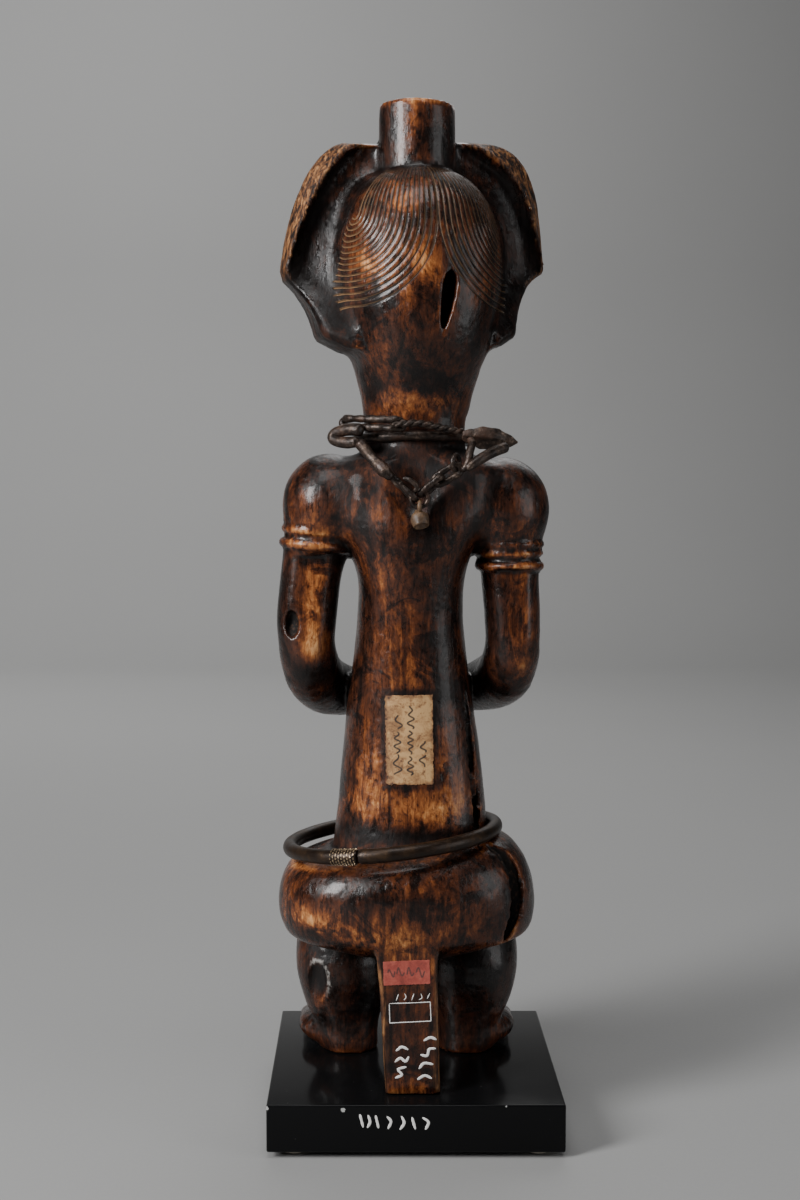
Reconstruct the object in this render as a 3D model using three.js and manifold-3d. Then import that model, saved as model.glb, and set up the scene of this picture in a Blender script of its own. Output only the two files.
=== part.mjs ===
// A carved wooden guardian figure that stands on a small glossy plinth.
// Millimetres, +Z up. The figure faces +Y, and X runs to its right hand.
// The origin is the middle of the plane that the four rubber pads stand on.
import * as THREE from 'three';
import { mergeVertices } from 'three/addons/utils/BufferGeometryUtils.js';
import Module from 'manifold-3d';

const wasm = await Module();
wasm.setup();

// Driving dimensions
const clearance = 0.3; // between two pieces that touch
const figureHeight = 539; // sole of the feet to the top of the crown tube

const plinthWidth = 160;
const plinthDepth = 160;
const plinthHeight = 26;
const plinthCorner = 2.5; // radius of the upright corners
const plinthBevel = 0.9; // along the top and bottom edges
const padDiameter = 15;
const padHeight = 3;
const padInset = 14; // pad's middle to the plinth's sides

const waistRingOuter = 125; // outer diameter of the bronze ring
const waistRingRod = 8.2;
const waistRingSplit = 1.2; // between its two ends
const waistRingLean = 6.2; // degrees, its left side hangs lower
const waistRingPitch = 2; // degrees, its rear stands a little higher
const neckRingRod = 4;
const longLinkRod = 3.2;
const twistedRod = 3.4;
const leftLoopRod = 5.2;
const leftRodRod = 4.6;
const rightRodRod = 4.4;
const smallLinkRod = 2.4; // wire of the small links
const smallRingRod = 1.9;
const leafThickness = 2.4;
const pendantWidth = 10.5;
const pendantHeight = 9;
const pendantLoop = 2.9; // radius of the loop that it hangs by

const paperWidth = 27;
const paperHeight = 50;
const redWidth = 25.5;
const redHeight = 13.5;
const labelThickness = 0.5;

const postWidth = 31; // rear post that once stood in the reliquary box
const postDepth = 24;
const crownTubeWidth = 41.6;
const slotLength = 31; // mortise in the back of the head
const slotWidth = 10.5;
const crackWidth = 2.6; // age crack up the trunk
const rumpCrackWidth = 5.4;
const hairPitch = 3.15; // between two hair grooves
const hairRelief = 0.8; // ridges over the grooves between them
const hairBed = 0.5; // floor of the grooves over the plain skull

// The tables of the carving below are for a figure this high.
const tableHeight = 539;
const share = figureHeight / tableHeight;

// Trunk and neck, bottom to top: height, left edge, right edge, back, belly, squareness
const trunkTable = [
  [92, -50, 45, -50, 28, 2.3],
  [143, -43.6, 41.2, -44.5, 28, 2.3],
  [164, -41.6, 39.2, -43.5, 31, 2.3],
  [186, -39.4, 36.6, -42.5, 33, 2.3],
  [210, -37, 32.8, -42, 32.5, 2.3],
  [233, -33.8, 30, -42.5, 29, 2.3],
  [256, -31.9, 27.6, -43.5, 26, 2.3],
  [276, -31.6, 28.2, -45.5, 25, 2.35],
  [292, -36, 33, -47.5, 26, 2.5],
  [306, -44, 43, -48.5, 27, 2.6],
  [322, -50, 51, -47, 24, 2.5],
  [336, -49, 51, -43.5, 18, 2.4],
  [342, -43, 45, -41, 15, 2.2],
  [347.4, -31, 31.6, -38, 14, 2],
  [353, -27.8, 28.2, -36.4, 13.4, 2],
  [372, -28.6, 29.4, -36, 13, 2],
  [390, -31, 33.6, -42, 19, 2],
];

// Rump, bottom to top: height, left edge, right edge, back, front, squareness
const rumpTable = [
  [69, -34, 28, -50, 4, 2],
  [73, -50, 43, -58, 14, 2.1],
  [79, -68, 62.5, -65, 22, 2.2],
  [88, -74.2, 67.5, -69, 28, 2.2],
  [100, -76.3, 67.2, -70.5, 32, 2.2],
  [112, -75, 63.2, -69.5, 33, 2.25],
  [121, -71.4, 56.8, -65, 32, 2.3],
  [126, -65, 50.5, -59, 31, 2.3],
  [128.6, -52, 45, -52, 29, 2.3],
];
const rumpLean = 0.12; // rise of its top across the figure, higher on the right

// Skull and jaw about the head's own axis: height, half width, back, front, squareness
const skullTable = [
  [370, 27.5, 27, 20, 2],
  [381, 30, 33, 33, 2.1],
  [392, 34, 39.5, 38.5, 2.2],
  [406, 39, 45.5, 41, 2.2],
  [424, 43, 49.5, 41, 2.15],
  [443, 45.6, 51, 42.5, 2.1],
  [461, 45.4, 50, 44.5, 2.1],
  [477, 42, 46.5, 43.5, 2.05],
  [489, 36.5, 40, 38.5, 2],
  [498, 27.5, 30, 30, 2],
  [504, 15, 16.5, 17, 2],
];
const headAxis = new THREE.Vector3(1.5, -8, 0);
const headTurn = 12; // degrees, the face looks a little to its own left
const skullCentre = new THREE.Vector3(0, 0, 452);

// One side's wing of the headdress, as seen from behind with x measured outwards
const leftWing = {
  side: -1,
  edge: [[40.5, 518.4], [60, 514.5], [72, 478], [75.2, 448]],
  rim: [[37, 515.5], [51, 508], [67.5, 474], [73.6, 449]],
  scallop: [[73.5, 442], [60.5, 430], [56.4, 412]],
  foot: [[54.6, 409.4], [41.9, 403]],
};
const rightWing = {
  side: 1,
  edge: [[38.7, 521.3], [65, 522], [74, 502], [75.2, 449.6]],
  rim: [[33.4, 518], [56, 507], [68, 492], [73, 451]],
  scallop: [[69.5, 446], [57.5, 436], [53.4, 413.5]],
  foot: [[52, 411], [42.6, 405.6]],
};
const wingFront = 15; // forward of the head's axis
const wingRoot = 12; // inside the skull, out from the head's axis
const wingCentre = [30, 455];
const wingEdgeBack = 6;
const wingRimBack = -3;
const wingHollow = [2.5, 8]; // its back, a fifth and a half of the way in from the rim

// Face, about the head's axis: each form's middle, radii and turn
const faceBalls = {
  muzzle: { at: [0, 33, 398], radii: [20, 15, 15] },
  chin: { at: [0, 32, 384.5], radii: [15, 12, 9.5] },
  upperLip: { at: [0, 46.6, 402.4], radii: [12, 5, 3.1] },
  lowerLip: { at: [0, 45.8, 396.4], radii: [11, 5, 3.1] },
};
const noseTable = [
  [0, 38, 453, 3.5, 4],
  [0, 41.5, 440, 4, 5],
  [0, 45.5, 426, 5.4, 6.6],
  [0, 47.5, 418, 7.8, 7],
  [0, 45, 413.6, 6.6, 4],
];
const eye = { at: [17, 36.6, 436], radii: [9.6, 6.4, 5.2], turn: 14 };
const eyeLine = { at: [17, 44.5, 436], size: [17, 5, 0.9] };
const cheekHollow = { at: [17.5, 50, 430], radii: [16, 13, 26] };
const mouthLine = { at: [0, 54, 399.4], size: [21, 9, 0.9] };
const ear = { at: [42.5, 19, 424], radii: [5, 7.5, 14.5], turn: [-8, 0, 0] };
const earHollow = { at: [47.5, 20.5, 424], radii: [3, 4.5, 9.5] };
const slotPlace = { at: [5.2, -50, 427], depth: 26, turn: [0, 7, 0] };

// Hair whorls, degrees about the skull's centre, measured from straight back
const whorlAcross = 64;
const whorlUp = 22;
const whorlReach = 57;
const whorlCore = 4;
const whorlSweep = [-108, 92];

// Upper arms, bottom to top: height, left edge, right edge, back, front, squareness
const leftArmTable = [
  [222, -68, -46, -20, 5, 2],
  [230, -73.4, -45.4, -26, 6, 2],
  [243, -76.6, -44.6, -30, 5, 2],
  [258, -76.9, -43.2, -31, 4.8, 2],
  [278, -75, -40.6, -31.6, 5.4, 2],
  [300, -72.6, -35.4, -33.4, 7, 2],
  [318, -70, -30, -35, 9, 2],
];
const rightArmTable = [
  [222, 42, 64, -20, 5, 2],
  [230, 41.4, 68.6, -26, 6, 2],
  [243, 40.6, 70.6, -30, 5, 2],
  [258, 39.8, 71, -30.8, 4.6, 2],
  [278, 37.8, 70.2, -31.4, 5.2, 2],
  [300, 34.2, 71, -33.4, 7, 2],
  [318, 31, 72, -35, 9, 2],
];
const leftForearmTable = [
  [-60, -11, 233, 13, 14],
  [-57.5, -3, 224, 16, 17.4],
  [-51, 14, 214, 15.6, 17],
  [-40, 26, 209, 13.4, 14.6],
  [-27, 34.4, 206, 10.4, 11],
  [-17, 38, 205, 9, 9],
];
const rightForearmTable = [
  [55, -11, 233, 13, 14],
  [53, -3, 224, 15.6, 17],
  [47, 14, 216, 15.2, 16.4],
  [37, 26, 211, 13, 14],
  [25, 34.4, 207, 10.2, 10.8],
  [15, 38, 206, 9, 9],
];
const leftShoulder = { at: [-48, -12, 320], radii: [25.2, 27, 27] };
const rightShoulder = { at: [49.6, -12, 317], radii: [25.8, 27, 28] };
const leftBands = [[295.4, 5], [303.2, 7]]; // height and width of each armband
const rightBands = [[284.4, 4.8], [293.8, 6.6]];
const bandSwell = 1.12; // how far they stand out of the arm

// Hands on the belly: palm and thumb about the wrist's middle, x measured towards the wrist
const palmTable = [
  [12, 35, 0, 5, 9],
  [6, 37.6, 0, 6, 11.6],
  [-2, 39.4, -0.6, 6, 12],
  [-9, 38.4, -1.4, 5, 10.4],
  [-13, 36.4, -2, 3.4, 7],
];
const thumbTable = [
  [9, 38.4, 7, 3, 3],
  [2, 40, 12.6, 3, 3],
  [-4, 39.4, 13.6, 2, 2],
];
const fingerLine = { at: [-9, 45.4, -1.2], size: [15, 5, 0.9], turn: 4 };
const fingerLines = [5.4, -0.4, -6.2]; // heights of the grooves between the fingers
const leftHand = { side: -1, x: -13, z: 204 };
const rightHand = { side: 1, x: 11, z: 206 };
const chest = { at: [21, 12, 305], radii: [20, 15, 17] };
const navel = { at: [-2, 33, 172], radii: [6.5, 6, 6.5] };

// Legs and feet
const leftThighTable = [
  [-34, -18, 102, 30, 30],
  [-38, 6, 100, 28.5, 28],
  [-42, 26, 95, 26, 25],
  [-44, 44, 87, 22, 21],
  [-44, 54, 82, 15, 14],
  [-44, 60, 79, 6, 6],
];
const leftShinTable = [
  [-43, 44, 92, 19, 14],
  [-42.2, 38, 76, 22.8, 19],
  [-41.6, 28, 62, 26.2, 25],
  [-41, 20, 49, 27, 26],
  [-39.4, 16.5, 33, 24.6, 20.5],
  [-38.6, 15, 16, 20.6, 15.6],
  [-38.2, 15.4, 3, 16.4, 14.4],
];
const leftFootTable = [
  [-37, 3, 7, 12, 7],
  [-38.5, 10, 9.5, 16, 9.5],
  [-41, 24, 10.5, 20.5, 10.5],
  [-43.5, 42, 8.8, 22.5, 8.8],
  [-45, 58, 6.6, 22, 6.6],
  [-45.6, 68, 5, 17.5, 5],
];
const rightLegShift = -6; // the right leg mirrors the left one, a little closer in

const crack = [[28.6, 214], [31.4, 176], [34.4, 141], [35.6, 130]];
const crackFloor = -20;
const rumpCrack = [[35, 137], [48.2, 127.4], [53.6, 116.7], [55.6, 105], [54.4, 94], [48.6, 80]];
const rumpCrackFloor = -40;
const insectHole = { at: [-68, -31, 252.5], radii: [4.6, 7, 8] };
const calfChip = { at: [-62.5, 6.7, 40], size: [30, 14, 33], turn: [0, 4, -43] };
const backHollow = { at: [0, -47, 340], radii: [15, 7, 24] }; // between the shoulder blades
const leftArmFlat = { at: [-60, -41, 262], size: [22, 24, 58] };
const rightArmFlat = { at: [56, -41, 252], size: [22, 24, 62] };
const soleCut = { at: [0, 0, -10], size: [300, 300, 20] };
const postLean = 4.2; // how far its top stands to the left of its foot
const postBack = -66; // its rear face
const postTop = 92;
const postMiddle = -1.3;

// Bronze ring around the waist and iron ring around the neck
const waistRingMiddle = [-11.8, -12.5, 131.2];
const waistRingSplitAt = 18.7; // degrees left of straight back
const neckRingTable = { middle: [0.1, -11.2, 354.3], across: 31, deep: 27.9, rise: 1.8 };

// Iron chain, as the points that each piece passes through
const bars = {
  twisted_wire: { rod: twistedRod, at: [[-13, -47, 361.4], [-7, -48.4, 362.2], [1, -46.4, 362.6],
    [11, -43, 360.8], [20.6, -39.4, 358.8], [27, -36, 358.4]] },
  left_loop: { rod: leftLoopRod, at: [[-28.4, -42.8, 359.2], [-36.5, -38.2, 360.2],
    [-43.6, -33.2, 357.6], [-44.6, -33, 353.4], [-38, -38, 350.8], [-30.4, -43.2, 351.8]] },
  left_rod: { rod: leftRodRod, at: [[-31, -50.2, 353], [-23.4, -52.8, 343.6], [-16.4, -58.6, 336.4],
    [-12.8, -59.4, 332.5]] },
  small_hook: { rod: smallRingRod, at: [[-7.4, -58.6, 333.2], [-3.4, -59.2, 332], [0.2, -58.8, 328.6],
    [-1.2, -58.4, 325.8]] },
  chain_hook: { rod: smallLinkRod, at: [[24.4, -54.8, 336.6], [27.6, -55, 340.8], [28.8, -52.6, 347],
    [30.2, -48, 352], [28.4, -45.4, 354.6]] },
  right_rod: { rod: rightRodRod, at: [[26.4, -58.8, 337.6], [33.6, -56, 342.8], [41, -50.4, 346.8],
    [49.6, -43, 350]] },
};
const links = {
  long_link: { rod: longLinkRod, from: [-41, -25, 363.6], to: [-5.4, -43.4, 361.8], width: 7.8,
    roll: 8, bow: 7 },
  wire_link: { rod: smallLinkRod, from: [-17.4, -52, 338], to: [0.6, -54.7, 321], width: 8.6,
    roll: 80 },
  lower_link: { rod: smallLinkRod, from: [1.2, -54.3, 323.4], to: [15.1, -53.2, 334.2], width: 8.2,
    roll: 80 },
  upper_link: { rod: smallLinkRod, from: [9, -53.5, 330.2], to: [24.6, -52.4, 339.6], width: 8,
    roll: 4 },
};
const rings = {
  lower_ring: { rod: smallRingRod, at: [1.9, -54.4, 322.2], radius: 4.5, turn: [90, 0, 0] },
  small_ring: { rod: smallRingRod, at: [21.4, -52.2, 341.2], radius: 4, turn: [90, 0, 80] },
};
const leaf = { tip: [55.6, -37.6, 352.6], root: [25.4, -41.4, 356.2], width: 12.6 };
const pendantAt = [1.9, -54.4, 311.2];

// Old paper slips: middle x and height of each, and their turn in degrees
const paperPlace = { x: -3.1, z: 190, turn: 0.8 };
const redPlace = { x: -4.9, z: 67.4, turn: 2.4 };

const skinWood = '#3a2013';
const materials = {
  wood: new THREE.MeshStandardMaterial({ color: skinWood, roughness: 0.38, metalness: 0 }),
  plinth: new THREE.MeshStandardMaterial({ color: '#0b0b0d', roughness: 0.22, metalness: 0 }),
  rubber: new THREE.MeshStandardMaterial({ color: '#d9d0b4', roughness: 0.7, metalness: 0 }),
  bronze: new THREE.MeshStandardMaterial({ color: '#3b3129', roughness: 0.42, metalness: 0.85 }),
  iron: new THREE.MeshStandardMaterial({ color: '#40352d', roughness: 0.5, metalness: 0.8 }),
  paper: new THREE.MeshStandardMaterial({ color: '#d3bb93', roughness: 0.85, metalness: 0 }),
  redPaper: new THREE.MeshStandardMaterial({ color: '#b04a41', roughness: 0.8, metalness: 0 }),
};

const radians = THREE.MathUtils.degToRad;
const vector = (list) => new THREE.Vector3(...list);

// A value of a table's column, smooth between the rows.
function between(values, t) {
  const last = values.length - 1;
  const i = Math.min(Math.floor(t), last - 1);
  const u = t - i;
  const [a, b, c, d] = [i - 1, i, i + 1, i + 2].map((n) => values[Math.min(Math.max(n, 0), last)]);
  return b + 0.5 * u * (c - a + u * (2 * a - 5 * b + 4 * c - d + u * (3 * (b - c) + d - a)));
}

function rowBetween(table, t) {
  return table[0].map((_, column) => between(table.map((row) => row[column]), t));
}

// The row at a height: the first column of the table is the height.
function rowAtHeight(table, height) {
  let low = 0;
  let high = table.length - 1;
  for (let step = 0; step < 24; step += 1) {
    const middle = (low + high) / 2;
    if (between(table.map((row) => row[0]), middle) < height) low = middle;
    else high = middle;
  }
  return rowBetween(table, (low + high) / 2);
}

// A closed skin over rings of equal point counts, with its faces turned outwards.
function skin(rings, loop = false) {
  const count = rings[0].length;
  const points = rings.flat();
  const faces = [];
  const spans = loop ? rings.length : rings.length - 1;
  for (let i = 0; i < spans; i += 1) {
    const next = (i + 1) % rings.length;
    for (let j = 0; j < count; j += 1) {
      const k = (j + 1) % count;
      faces.push(i * count + j, i * count + k, next * count + k);
      faces.push(i * count + j, next * count + k, next * count + j);
    }
  }
  if (!loop) {
    for (const end of [0, rings.length - 1]) {
      const middle = rings[end].reduce((sum, p) => sum.add(p), new THREE.Vector3()).divideScalar(count);
      points.push(middle);
      for (let j = 0; j < count; j += 1) {
        const pair = [end * count + (j + 1) % count, end * count + j];
        faces.push(points.length - 1, ...(end === 0 ? pair : pair.reverse()));
      }
    }
  }
  return facedOut(points, faces);
}

function facedOut(points, faces) {
  let volume = 0;
  const cross = new THREE.Vector3();
  for (let i = 0; i < faces.length; i += 3) {
    const [a, b, c] = [points[faces[i]], points[faces[i + 1]], points[faces[i + 2]]];
    volume += a.dot(cross.crossVectors(b, c));
  }
  if (volume < 0) faces.reverse();
  const geometry = new THREE.BufferGeometry().setFromPoints(points);
  geometry.setIndex(faces);
  return geometry;
}

// One level ring of a trunk-like table: rounder or squarer by its last value.
function levelRing([z, left, right, back, front, square], sides) {
  const x = (left + right) / 2;
  const y = (back + front) / 2;
  return Array.from({ length: sides }, (_, j) => {
    const angle = (2 * Math.PI * j) / sides;
    const c = Math.cos(angle);
    const s = Math.sin(angle);
    const across = Math.sign(c) * Math.abs(c) ** (2 / square) * (right - left) / 2;
    const along = Math.sign(s) * Math.abs(s) ** (2 / square) * (front - back) / 2;
    return new THREE.Vector3(x + across, y + along, z);
  });
}

function stack(table, sides, rings) {
  const list = [];
  for (let i = 0; i < rings; i += 1) {
    list.push(levelRing(rowBetween(table, (i * (table.length - 1)) / (rings - 1)), sides));
  }
  return skin(list);
}

// An upper arm with its raised bands.
function armSolid(table, bands, sides) {
  const rows = [222, 232, 246, 264].map((height) => rowAtHeight(table, height));
  for (const [middle, width] of bands) {
    [[-0.5, 1], [-0.3, bandSwell], [0.3, bandSwell], [0.5, 1]].forEach(([part, swell]) => {
      const [z, left, right, back, front, square] = rowAtHeight(table, middle + part * width);
      const [x, y] = [(left + right) / 2, (back + front) / 2];
      rows.push([z, x + (left - x) * swell, x + (right - x) * swell, y + (back - y) * swell,
        y + (front - y) * swell, square]);
    });
  }
  rows.push(rowAtHeight(table, 318));
  return skin(rows.map((row) => levelRing(row, sides)));
}

// A limb: oval rings square to a smooth path through the table's points.
function limb(table, sides, rings, up = [0, 0, 1], square = 2) {
  const row = (t) => rowBetween(table, t);
  const list = [];
  const last = table.length - 1;
  for (let i = 0; i < rings; i += 1) {
    const t = (i * last) / (rings - 1);
    const [x, y, z, across, deep] = row(t);
    const ahead = vector(row(Math.min(t + 0.05, last)).slice(0, 3));
    const along = ahead.sub(vector(row(Math.max(t - 0.05, 0)).slice(0, 3))).normalize();
    const side = new THREE.Vector3().crossVectors(along, vector(up)).normalize();
    const over = new THREE.Vector3().crossVectors(side, along);
    list.push(Array.from({ length: sides }, (_, j) => {
      const angle = (2 * Math.PI * j) / sides;
      const c = Math.cos(angle);
      const s = Math.sin(angle);
      const u = Math.sign(c) * Math.abs(c) ** (2 / square) * across;
      const v = Math.sign(s) * Math.abs(s) ** (2 / square) * deep;
      return new THREE.Vector3(x, y, z).addScaledVector(side, u).addScaledVector(over, v);
    }));
  }
  return skin(list);
}

function ball(at, radii, around = 14, up = 9, turn = [0, 0, 0]) {
  const geometry = new THREE.SphereGeometry(1, around, up).rotateX(Math.PI / 2).scale(...radii);
  geometry.rotateX(radians(turn[0])).rotateY(radians(turn[1])).rotateZ(radians(turn[2]));
  return geometry.translate(...at);
}

function block(at, size, turn = [0, 0, 0]) {
  const geometry = new THREE.BoxGeometry(...size);
  geometry.rotateX(radians(turn[0])).rotateY(radians(turn[1])).rotateZ(radians(turn[2]));
  return geometry.translate(...at);
}

// A strip of even width along a line of [x, height], cut in from behind to a depth.
function stripFromBehind(line, width, floor, from = -120) {
  const left = [];
  const right = [];
  line.forEach(([x, z], i) => {
    const [x0, z0] = line[Math.max(i - 1, 0)];
    const [x1, z1] = line[Math.min(i + 1, line.length - 1)];
    const normal = new THREE.Vector2(z0 - z1, x1 - x0).normalize();
    const half = (width / 2) * (i === 0 || i === line.length - 1 ? 0.35 : 1);
    left.push([x + normal.x * half, z + normal.y * half]);
    right.unshift([x - normal.x * half, z - normal.y * half]);
  });
  const outline = [...left, ...right];
  const ring = (y) => outline.map(([x, z]) => new THREE.Vector3(x, y, z));
  return plate(ring(from), ring(floor));
}

// A plate between two flat loops, of any outline, seen along y.
function plate(...loops) {
  const count = loops[0].length;
  const points = loops.flat();
  const faces = [];
  for (let i = 0; i < loops.length - 1; i += 1) {
    for (let j = 0; j < count; j += 1) {
      const k = (j + 1) % count;
      faces.push(i * count + j, i * count + k, (i + 1) * count + k);
      faces.push(i * count + j, (i + 1) * count + k, (i + 1) * count + j);
    }
  }
  const flat = (loop) => loop.map((p) => new THREE.Vector2(p.x, p.z));
  const lid = (loop) => THREE.ShapeUtils.triangulateShape(flat(loop), []);
  const turned = THREE.ShapeUtils.area(flat(loops[0])) > 0;
  for (const [a, b, c] of lid(loops[0])) faces.push(...(turned ? [a, c, b] : [a, b, c]));
  const end = (loops.length - 1) * count;
  for (const [a, b, c] of lid(loops.at(-1))) {
    faces.push(...(turned ? [a, b, c] : [a, c, b]).map((n) => n + end));
  }
  return facedOut(points, faces);
}

function solid(geometry) {
  const bare = geometry.clone();
  bare.deleteAttribute('normal');
  bare.deleteAttribute('uv');
  const merged = mergeVertices(bare, 1e-4);
  return new wasm.Manifold(new wasm.Mesh({
    numProp: 3,
    vertProperties: new Float32Array(merged.attributes.position.array),
    triVerts: new Uint32Array(merged.index.array),
  }));
}

const joined = (parts) => parts.map(solid).reduce((sum, part) => sum.add(part));

function geometryOf(body) {
  const mesh = body.getMesh();
  const geometry = new THREE.BufferGeometry();
  geometry.setAttribute('position', new THREE.BufferAttribute(mesh.vertProperties, 3));
  geometry.setIndex(new THREE.BufferAttribute(mesh.triVerts, 1));
  const flat = geometry.toNonIndexed();
  flat.computeVertexNormals();
  return flat;
}

function onSide([x, y, z], side) {
  return [side * x, y, z];
}

function inHead(geometry) {
  return geometry.rotateZ(radians(headTurn)).translate(...headAxis.toArray());
}

// Head: is a point about the head's axis inside the skull?
function inSkull(point) {
  const [, half, back, front, square] = rowAtHeight(skullTable, point.z);
  const y = (front - back) / 2;
  const across = Math.abs(point.x / half) ** square;
  const along = Math.abs((point.y - y) / ((front + back) / 2)) ** square;
  return across + along < 1 && point.z < skullTable.at(-1)[0];
}

// The skull's surface in a direction from its centre, with a lift off it.
function onSkull(direction, lift) {
  let low = 8;
  let high = 80;
  for (let step = 0; step < 20; step += 1) {
    const middle = (low + high) / 2;
    if (inSkull(skullCentre.clone().addScaledVector(direction, middle))) low = middle;
    else high = middle;
  }
  return skullCentre.clone().addScaledVector(direction, (low + high) / 2 + lift);
}

// Half a disc of concentric ridges and grooves, laid on the skull.
function hairWhorl(side) {
  const up = radians(whorlUp);
  const across = radians(whorlAcross);
  const pole = new THREE.Vector3(side * Math.sin(across), -Math.cos(across), 0)
    .multiplyScalar(Math.cos(up)).setZ(Math.sin(up));
  const inwards = new THREE.Vector3(-side * Math.cos(across), -Math.sin(across), 0);
  const upwards = new THREE.Vector3().crossVectors(pole, inwards).normalize();
  if (upwards.z < 0) upwards.negate();
  const skullRadius = skullTable[5][2];
  const pitch = THREE.MathUtils.radToDeg(hairPitch / skullRadius);
  const radii = [];
  for (let reach = whorlCore; reach <= whorlReach; reach += pitch / 2) radii.push(reach);
  const columns = 8;
  const rings = radii.map((reach, i) => Array.from({ length: columns + 1 }, (_, j) => {
    const turn = radians(THREE.MathUtils.lerp(...whorlSweep, j / columns));
    const away = radians(reach);
    const direction = pole.clone().multiplyScalar(Math.cos(away))
      .addScaledVector(inwards, Math.sin(away) * Math.cos(turn))
      .addScaledVector(upwards, Math.sin(away) * Math.sin(turn)).normalize();
    return onSkull(direction, hairBed + (i % 2 ? hairRelief : 0));
  }));
  const points = rings.flat();
  const faces = [];
  const wide = columns + 1;
  for (let i = 0; i < rings.length - 1; i += 1) {
    for (let j = 0; j < columns; j += 1) {
      const a = i * wide + j;
      faces.push(a, a + 1, a + wide + 1, a, a + wide + 1, a + wide);
    }
  }
  const rim = [];
  for (let j = 0; j < columns; j += 1) rim.push(j);
  for (let i = 0; i < rings.length - 1; i += 1) rim.push(i * wide + columns);
  for (let j = columns; j > 0; j -= 1) rim.push((rings.length - 1) * wide + j);
  for (let i = rings.length - 1; i > 0; i -= 1) rim.push(i * wide);
  const root = points.push(onSkull(pole, -14)) - 1;
  rim.forEach((from, i) => faces.push(root, rim[(i + 1) % rim.length], from));
  return facedOut(points, faces);
}

// A wing of the headdress: a hollowed plate with a worn, bevelled rim.
function wing({ side, edge, rim, scallop, foot }) {
  const curve = (points, steps, skipFirst) => {
    const bezier = points.length === 4
      ? new THREE.CubicBezierCurve(...points.map((p) => new THREE.Vector2(...p)))
      : new THREE.QuadraticBezierCurve(...points.map((p) => new THREE.Vector2(...p)));
    return bezier.getPoints(steps).slice(skipFirst ? 1 : 0);
  };
  const loop = (top, inset) => {
    const pulled = scallop.map(([x, z]) => [x - inset, z + inset * 0.4]);
    const toFoot = foot.map(([x, z]) => new THREE.Vector2(x - inset, z + inset * 0.8));
    return [new THREE.Vector2(wingRoot, top[0][1]), ...curve(top, 7), ...curve(pulled, 3), ...toFoot,
      new THREE.Vector2(wingRoot, foot[1][1])];
  };
  const outer = loop(edge, 0);
  const inner = loop(rim, 2);
  const middle = new THREE.Vector2(...wingCentre);
  const hollows = [0.2, 0.5].map((part) => inner.map((p) => p.clone().lerp(middle, part)));
  const place = (outline, y) => outline.map((p) => new THREE.Vector3(side * p.x, y, p.y));
  return plate(place(outer, wingFront), place(outer, wingEdgeBack), place(inner, wingRimBack),
    ...hollows.map((outline, i) => place(outline, wingHollow[i])));
}

function headSolid() {
  const bothSides = ([z, half, back, front, square]) => [z, -half, half, -back, front, square];
  const skullRows = skullTable.map(bothSides);
  const tube = new THREE.LatheGeometry([
    [0, 488], [crownTubeWidth / 2 + 1.5, 488], [crownTubeWidth / 2 + 0.6, 519],
    [crownTubeWidth / 2 - 0.4, tableHeight - 2], [crownTubeWidth / 2 - 2.4, tableHeight], [0, tableHeight],
  ].map((p) => new THREE.Vector2(...p)), 14).rotateX(Math.PI / 2);
  const balls = Object.values(faceBalls).map(({ at, radii }) => ball(at, radii, 10, 6));
  const face = [...balls, limb(noseTable, 8, 6, [0, 1, 0])];
  for (const side of [-1, 1]) {
    face.push(ball(onSide(eye.at, side), eye.radii, 8, 6, [0, 0, -side * eye.turn]));
    face.push(ball(onSide(ear.at, side), ear.radii, 8, 6, ear.turn));
  }
  let head = joined([stack(skullRows, 16, 10), tube, wing(leftWing), wing(rightWing)]);
  for (const side of [-1, 1]) {
    head = head.subtract(solid(ball(onSide(cheekHollow.at, side), cheekHollow.radii, 10, 7)));
  }
  head = [...face, hairWhorl(-1), hairWhorl(1)].map(solid).reduce((sum, part) => sum.add(part), head);
  for (const side of [-1, 1]) {
    head = head.subtract(solid(block(onSide(eyeLine.at, side), eyeLine.size, [0, 0, -side * eye.turn])));
    head = head.subtract(solid(ball(onSide(earHollow.at, side), earHollow.radii, 8, 6)));
  }
  head = head.subtract(solid(block(mouthLine.at, mouthLine.size)));
  const slotRadii = [slotWidth / 2, slotPlace.depth / 2, slotLength / 2];
  return head.subtract(solid(ball(slotPlace.at, slotRadii, 10, 8, slotPlace.turn)));
}

// A hand laid flat on the belly, with its fingers parted by grooves.
function handSolid({ side, x, z }) {
  const placed = (table) => table.map(([px, py, pz, ...radii]) => [x + side * px, py, z + pz, ...radii]);
  const hand = joined([limb(placed(palmTable), 10, 6, [0, 0, 1], 2.6), limb(placed(thumbTable), 6, 4)]);
  const [lineX, lineY, lineZ] = fingerLine.at;
  return fingerLines.reduce((rest, up) => rest.subtract(solid(block(
    [x + side * lineX, lineY, z + up + lineZ],
    fingerLine.size,
    [0, side * fingerLine.turn, 0],
  ))), hand);
}

// A stack whose top rises across the figure.
function leaned(geometry, table, lean) {
  const position = geometry.attributes.position;
  const [low, high] = [table[0][0], table.at(-1)[0]];
  for (let i = 0; i < position.count; i += 1) {
    const part = (position.getZ(i) - low) / (high - low);
    position.setZ(i, position.getZ(i) + lean * part * (position.getX(i) + 4));
  }
  return geometry;
}

function mirrored(table) {
  return table.map(([x, ...rest]) => [rightLegShift - x, ...rest]);
}

function legSolids(thigh, shin, foot) {
  const legs = [limb(thigh, 10, 6, [0, 0, 1], 2.1), limb(shin, 12, 7, [0, 1, 0], 2.1)];
  return [...legs, limb(foot, 10, 5, [0, 0, 1], 2.4)];
}

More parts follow.
